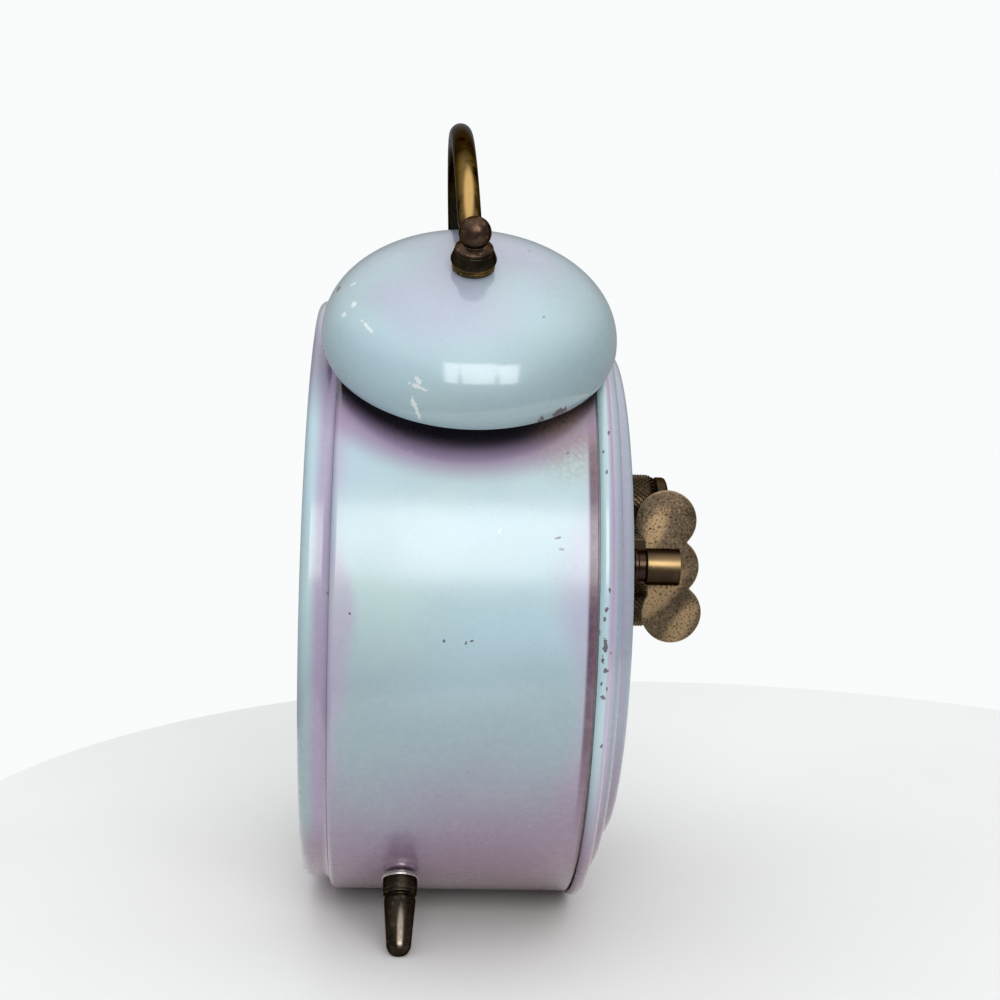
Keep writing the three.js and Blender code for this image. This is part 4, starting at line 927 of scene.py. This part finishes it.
# Hammer and alarm stop
# A turned steel head pressed on the hammer's wire between the bells, and the plunger behind it that
# is pushed down to hush the alarm.
head_half, head_radius, head_height = 8.4, 2.8, 60.6
bore_radius, bore_length, bore_middle = 1.4, 11.2, -3.62
head_profile = [(0.0, -head_half), (head_radius, -head_half), (head_radius, head_half), (0.0, head_half)]
hammer_bar = turned(head_profile, 64, 0.6)
hammer_bar.transform(Matrix.Rotation(math.radians(90), 4, "Z"))
wire_hole = bmesh.new()
drill(wire_hole, bore_radius, bore_length, Matrix.Translation((0, 0, bore_middle)))
hammer_bar = pierced(hammer_bar, wire_hole)
on_wire = on_case @ Matrix.Translation((0, 0, head_height))
add_piece("hammer_bar", hammer_bar, on_wire, steel_bright, "hammer", "bright_steel", "hammer_head")
stop_profile = [
    (0.0, 40.3), (1.2, 40.3), (1.2, 52.7), (2.0, 52.7), (2.0, 53.5), (1.2, 53.5), (1.2, 58.3), (2.4, 58.3),
    (2.4, 59.7), (1.8, 60.3), (0.0, 60.5),
]
plunger = turned(stop_profile, 48, 0.2)
above_stop = along_radius(0, stop_level)
add_piece("stop_plunger", plunger, above_stop, steel_bright, "alarm_stop", "bright_steel", "alarm_stop")


# Winding keys
# A stamped brass plate of three round lobes, soldered into the slotted end of a turned brass barrel
# that screws on the winding arbor. The plate is dull and speckled, with a painted sheen; the barrel
# is glossy and dark, with a painted highlight band.
key_plate_brass, surface, coords = new_finish("key_plate_brass")
blotch = noise(key_plate_brass, coords, 210.0, 4.0, 0.6)
dull = fade(key_plate_brass, blotch, 0.3, 0.7)
plate_tone = mixed(key_plate_brass, dull, tone(86, 73, 58), tone(112, 96, 77))
plate_sheen = [
    ((arbor_side, 35.0, 3.0), (0, 0.7, 0.72), 9.0, 3.0),
    ((arbor_side, 39.5, -2.0), (0, 0.55, 0.83), 6.5, 2.4),
    ((arbor_side, 34.0, 14.5), (0, 0.4, 0.9), 6.0, 2.6),
]
for sheen in plate_sheen:
    shine = stroke(key_plate_brass, coords, *sheen, strength=0.7)
    plate_tone = mixed(key_plate_brass, shine, plate_tone, tone(186, 156, 118))
pits = noise(key_plate_brass, coords, 2300.0, 3.0, 0.65)
black_pits = fade(key_plate_brass, pits, 0.52, 0.64, 0.85)
plate_tone = mixed(key_plate_brass, black_pits, plate_tone, tone(56, 44, 33))
bright_grains = fade(key_plate_brass, pits, 0.42, 0.3, 0.55)
plate_tone = mixed(key_plate_brass, bright_grains, plate_tone, tone(182, 156, 122))
plate_rough = sums(key_plate_brass, "ADD", fade(key_plate_brass, blotch, 0.25, 0.75, 0.2), 0.34)
pitting = add_node(key_plate_brass, "Bump", Strength=0.2, Distance=0.0003, Height=pits)
plug(
    key_plate_brass, surface, Base_Color=plate_tone, Metallic=1.0, Roughness=plate_rough,
    Normal=pitting.outputs[0],
)
key_rim_brass = aged_brass(
    "key_rim_brass", tone(150, 128, 98), tone(186, 162, 126), tone(226, 206, 170), None, 0.28,
)
# A painted highlight band runs round the barrel a little above its axis.
key_barrel_brass = aged_brass(
    "key_barrel_brass", tone(44, 35, 28), tone(66, 53, 39), tone(150, 125, 88),
    ((0, 0, 1), 7.4, 8.7, 9.2, 11.0), 0.26, 90.0,
)
backward = (0, 1, 0)
neck_end = 32.9
neck_level = along(key_barrel_brass, own_coords(key_barrel_brass), backward)
neck_edge = case_level(backward, neck_end)
# Painted shade darkens the neck, between the barrel and the cover.
neck_mask = fade(key_barrel_brass, neck_level, neck_edge, neck_edge - 0.0001, 0.85)
overlaid(key_barrel_brass, neck_mask, tone(54, 40, 37))
barrel_radius = 3.3
plate_thickness = 1.0
lobe_radius = 5.3
lobe_spacing = 8.2
plate_middle = 37.0
slot_floor = 32.3
slit_width, slit_length = 1.1, 12.0
cusp = math.degrees(math.asin(lobe_spacing / 2 / lobe_radius))
barrel_profile = [
    (0.0, 32.0),
    (2.1, 32.0),
    (2.1, 29.5),
    (2.75, 29.5),
    (2.75, 30.7),
    (3.0, 30.8),
    (3.0, 31.4),
    (2.8, 31.5),
    (2.8, neck_end - 0.25),
    (2.65, neck_end - 0.15),
    (barrel_radius, neck_end),
    (barrel_radius, 38.7),
    (0.0, 38.7),
]
keys = (("time", "time_key", 1, 5.0, 0.0), ("alarm", "alarm_key", -1, 0.0, 84.0))
for name, body, side, tilt, turn in keys:
    at_rest = Matrix.Rotation(math.radians(turn), 4, "Y")
    on_arbor = on_case @ Matrix.Translation((arbor_side * side, 0, arbor_height)) @ at_rest
    askew = math.radians(tilt)
    plate_inner = slot_floor + 0.3 + barrel_radius * math.sin(askew)
    corner = math.degrees(math.acos((plate_middle - plate_inner) / lobe_radius))
    wings = bmesh.new()
    rim = []
    for height, first, last, count in (
        (lobe_spacing, -cusp, 180 + corner, 40),
        (-lobe_spacing, 180 - corner, 360 + cusp, 40),
        (0.0, -cusp, cusp, 16),
    ):
        for y, z in arc((plate_middle, height), lobe_radius, first, last, count):
            point = Vector((-plate_thickness / 2, y, z))
            if not rim or (rim[-1].co - point).length > 0.01:
                rim.append(wings.verts.new(point))
    if (rim[0].co - rim[-1].co).length < 0.01:
        wings.verts.remove(rim.pop())
    grown = bmesh.ops.extrude_face_region(wings, geom=[wings.faces.new(rim)])["geom"]
    bmesh.ops.translate(wings, vec=(plate_thickness, 0, 0), verts=picked(grown, "Vert"))
    face_out(wings)
    soften(wings, 0.28, 60)
    bmesh.ops.rotate(
        wings, cent=(0, plate_middle, 0), matrix=Matrix.Rotation(askew, 3, "X"), verts=wings.verts[:],
    )
    key_plate = add_piece(
        f"{name}_wings", wings, on_arbor, key_plate_brass, body, "key_bronze", f"{name}_key_wings",
    )
    key_plate.data.materials.append(key_rim_brass)
    plate_way = at_rest @ Vector((1, 0, 0))
    for face in key_plate.data.polygons:
        face.material_index = 0 if abs(face.normal.dot(plate_way)) > 0.9 else 1
    barrel = turned(barrel_profile, 64, 0.09)
    slit = bmesh.new()
    bmesh.ops.create_cube(slit, size=1.0)
    slit.transform(Matrix.Diagonal((slit_width, slit_length, slit_length, 1)))
    slit.transform(Matrix.Translation((0, slot_floor + slit_length / 2, 0)))
    barrel = pierced(barrel, slit)
    add_piece(f"{name}_barrel", barrel, on_arbor, key_barrel_brass, body, "key_bronze", f"{name}_key_barrel")


# Setting knobs
# Turned brass knobs with a cut diamond knurl round the grip and a ring at the outer end, gone nearly
# black. The lower one sets the hands and the upper one the alarm.
knob_start, knob_length = 30.3, 8.9
grip_end = 36.9
time_radius, alarm_radius = 6.3, 6.1


def knurled_brass(name, height, radius):
    """Aged brass whose knurl is worn bright on its points and black with dirt in its cuts."""
    finish = aged_brass(name, tone(92, 77, 59), tone(128, 107, 82), tone(186, 160, 122), None, 0.3, 420.0)
    coords = own_coords(finish)
    flat = add_node(finish, "VectorMath", {"operation": "MULTIPLY"}, in0=coords, in1=(1, 0, 1)).outputs[0]
    reach = away_from(finish, flat, (0, 0, case_level((0, 0, 1), height)))
    edge = case_level(backward, grip_end)
    on_grip = fade(finish, along(finish, coords, backward), edge + 0.0001, edge)
    cuts = fade(finish, reach, (radius - 0.16) * mm, (radius - 0.42) * mm)
    cut_dirt = sums(finish, "MULTIPLY", cuts, on_grip)
    ring_dirt = sums(finish, "SUBTRACT", 0.8, on_grip)
    overlaid(finish, sums(finish, "MAXIMUM", cut_dirt, ring_dirt), tone(32, 25, 19))
    return finish


def knob(radius, points):
    """A knob with its grip cut into small pyramids, in rows of so many points."""
    start, length = knob_start, knob_length
    rows = 26
    grip = []
    for i in range(rows):
        share = i / (rows - 1)
        swell = 1.0 - 0.12 * max(0.0, 1 - share / 0.16) ** 2 - 0.11 * max(0.0, (share - 0.76) / 0.24) ** 2
        grip.append((radius * swell, start + 0.2 + share * (0.73 * length - 0.2)))
    profile = [
        (0.0, start + 0.6 * length + 0.3),
        (1.5, start + 0.6 * length + 0.3),
        (1.5, start),
        (0.86 * radius, start),
        *grip,
        (0.87 * radius, start + 0.75 * length),
        (0.92 * radius, start + 0.78 * length),
        (0.92 * radius, start + length - 0.7),
        (0.89 * radius, start + length - 0.3),
        (0.8 * radius, start + length),
        (0.0, start + length),
    ]
    shape = turned(profile, 4 * points)
    low, step = grip[0][1], (grip[-1][1] - grip[0][1]) / (rows - 1)
    for vert in shape.verts:
        across = math.hypot(vert.co.x, vert.co.z)
        row = (vert.co.y - low) / step
        column = math.atan2(vert.co.z, vert.co.x) / math.tau * 4 * points
        if across > 0.8 * radius and 0.5 < row < rows - 1.5 and abs(row - round(row)) < 0.05:
            down, aside = (round(row) + 2) % 4 - 2, (round(column) + 2) % 4 - 2
            away = min(abs(down) + abs(aside), 4 - abs(down) - abs(aside))
            cut = 0.23 * min(away, 2)
            vert.co.x *= 1 - cut / across
            vert.co.z *= 1 - cut / across
    return shape


time_knurl = knurled_brass("time_knurl", 0.0, time_radius)
alarm_knurl = knurled_brass("alarm_knurl", alarm_height, alarm_radius)
time_knob = knob(time_radius, 40)
alarm_knob = knob(alarm_radius, 39)
add_piece("time_grip", time_knob, on_case, time_knurl, "hands", "knob_bronze", "time_set_knob")
add_piece("alarm_grip", alarm_knob, on_alarm, alarm_knurl, "alarm_setting", "knob_bronze", "alarm_set_knob")


# Movement
# Stamped brass plates and wheels, turned steel arbors and pillars, and blued springs, all closed in
# by the case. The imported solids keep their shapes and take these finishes.
plate_brass = aged_brass(
    "plate_brass", tone(150, 122, 70), tone(182, 152, 92), tone(214, 186, 124), None, 0.3,
)
spring_blue = two_tone(
    "spring_blue", tone(58, 66, 92), tone(92, 96, 110), 300.0, 0.3, 0.7, Metallic=1.0, Roughness=0.3,
)
slot_finish = {"movement_brass": plate_brass, "bright_steel": steel_bright, "spring_steel": spring_blue}
for part in frame["record"]["subparts"]:
    inner = frame["nodes"][part["node"]]
    if part["material_slot"] in slot_finish and not inner.hide_render:
        refinish(inner, slot_finish[part["material_slot"]])


# Studio
# A plain pale round table in a white room with a bright ceiling. The panes of a tall window behind
# the camera show in the enamel, and the camera looks at the clock's right-hand side.
table_white = two_tone(
    "table_white", tone(240, 240, 235), tone(246, 246, 243), 6.0, 0.3, 0.7, detail=4.0, Roughness=0.5,
)
table_radius = 0.1715
table_middle = (-0.0137, 0.0581, 0)
board = bmesh.new()
bmesh.ops.create_circle(board, cap_ends=True, segments=160, radius=table_radius)
board.transform(Matrix.Translation(table_middle))
table = show("table", meshed("table", board))
table.data.materials.append(table_white)

world = bpy.data.worlds.new("studio")
world.use_nodes = True
room = world.node_tree.nodes["Background"]
direction = add_node(world, "TexCoord").outputs["Generated"]
height = add_node(world, "SeparateXYZ", in0=direction).outputs["Z"]
ceiling = add_node(
    world, "MapRange", {"interpolation_type": "SMOOTHSTEP"}, Value=height, From_Min=0.25, From_Max=0.95,
    To_Min=0.36, To_Max=1.3,
)
plug(world, room, Color=(0.95, 0.97, 1.0, 1.0), Strength=ceiling.outputs[0])
backdrop = add_node(world, "Background", Color=(0.95, 0.965, 0.97, 1.0))
seen = add_node(world, "LightPath").outputs["Is Camera Ray"]
either = add_node(world, "MixShader", in0=seen, in1=room.outputs[0], in2=backdrop.outputs[0])
plug(world, world.node_tree.nodes["World Output"], Surface=either.outputs[0])
bpy.context.scene.world = world
bpy.context.scene.view_settings.view_transform = "Standard"

window_far, window_height = 1.27, 0.65
pane_tall = 0.68
lit_point = Vector((0, 0, 0.07))
for name, aside, wide, power in (
    ("pane_left", -0.27, 0.2, 1.7),
    ("pane_middle", 0.12, 0.5, 4.2),
    ("pane_right", 0.585, 0.33, 3.1),
):
    light = bpy.data.lights.new(name, "AREA")
    light.shape = "RECTANGLE"
    light.size = wide
    light.size_y = pane_tall
    light.energy = power
    light.color = (1.0, 1.0, 0.99)
    lamp = show(name, light)
    lamp.location = (window_far, aside, window_height)
    lamp.rotation_euler = (lit_point - lamp.location).to_track_quat("-Z", "Y").to_euler()

view_yaw, view_pitch, view_roll = 0.0562353, 0.1011988, 0.031194
view_point = (0.31598, -0.01687, 0.10485)
forward = Vector((
    -math.cos(view_yaw) * math.cos(view_pitch),
    math.sin(view_yaw) * math.cos(view_pitch),
    -math.sin(view_pitch),
))
level = forward.cross(Vector((0, 0, 1))).normalized()
upward = level.cross(forward)
right = level * math.cos(view_roll) + upward * math.sin(view_roll)
up = upward * math.cos(view_roll) - level * math.sin(view_roll)
lens = bpy.data.cameras.new("camera")
lens.lens = 61.2
lens.sensor_width = 36.0
lens.clip_start = 0.01
camera = show("camera", lens)
aim = Matrix((right, up, -forward)).transposed().to_4x4()
camera.matrix_world = Matrix.Translation(view_point) @ aim
bpy.context.scene.camera = camera
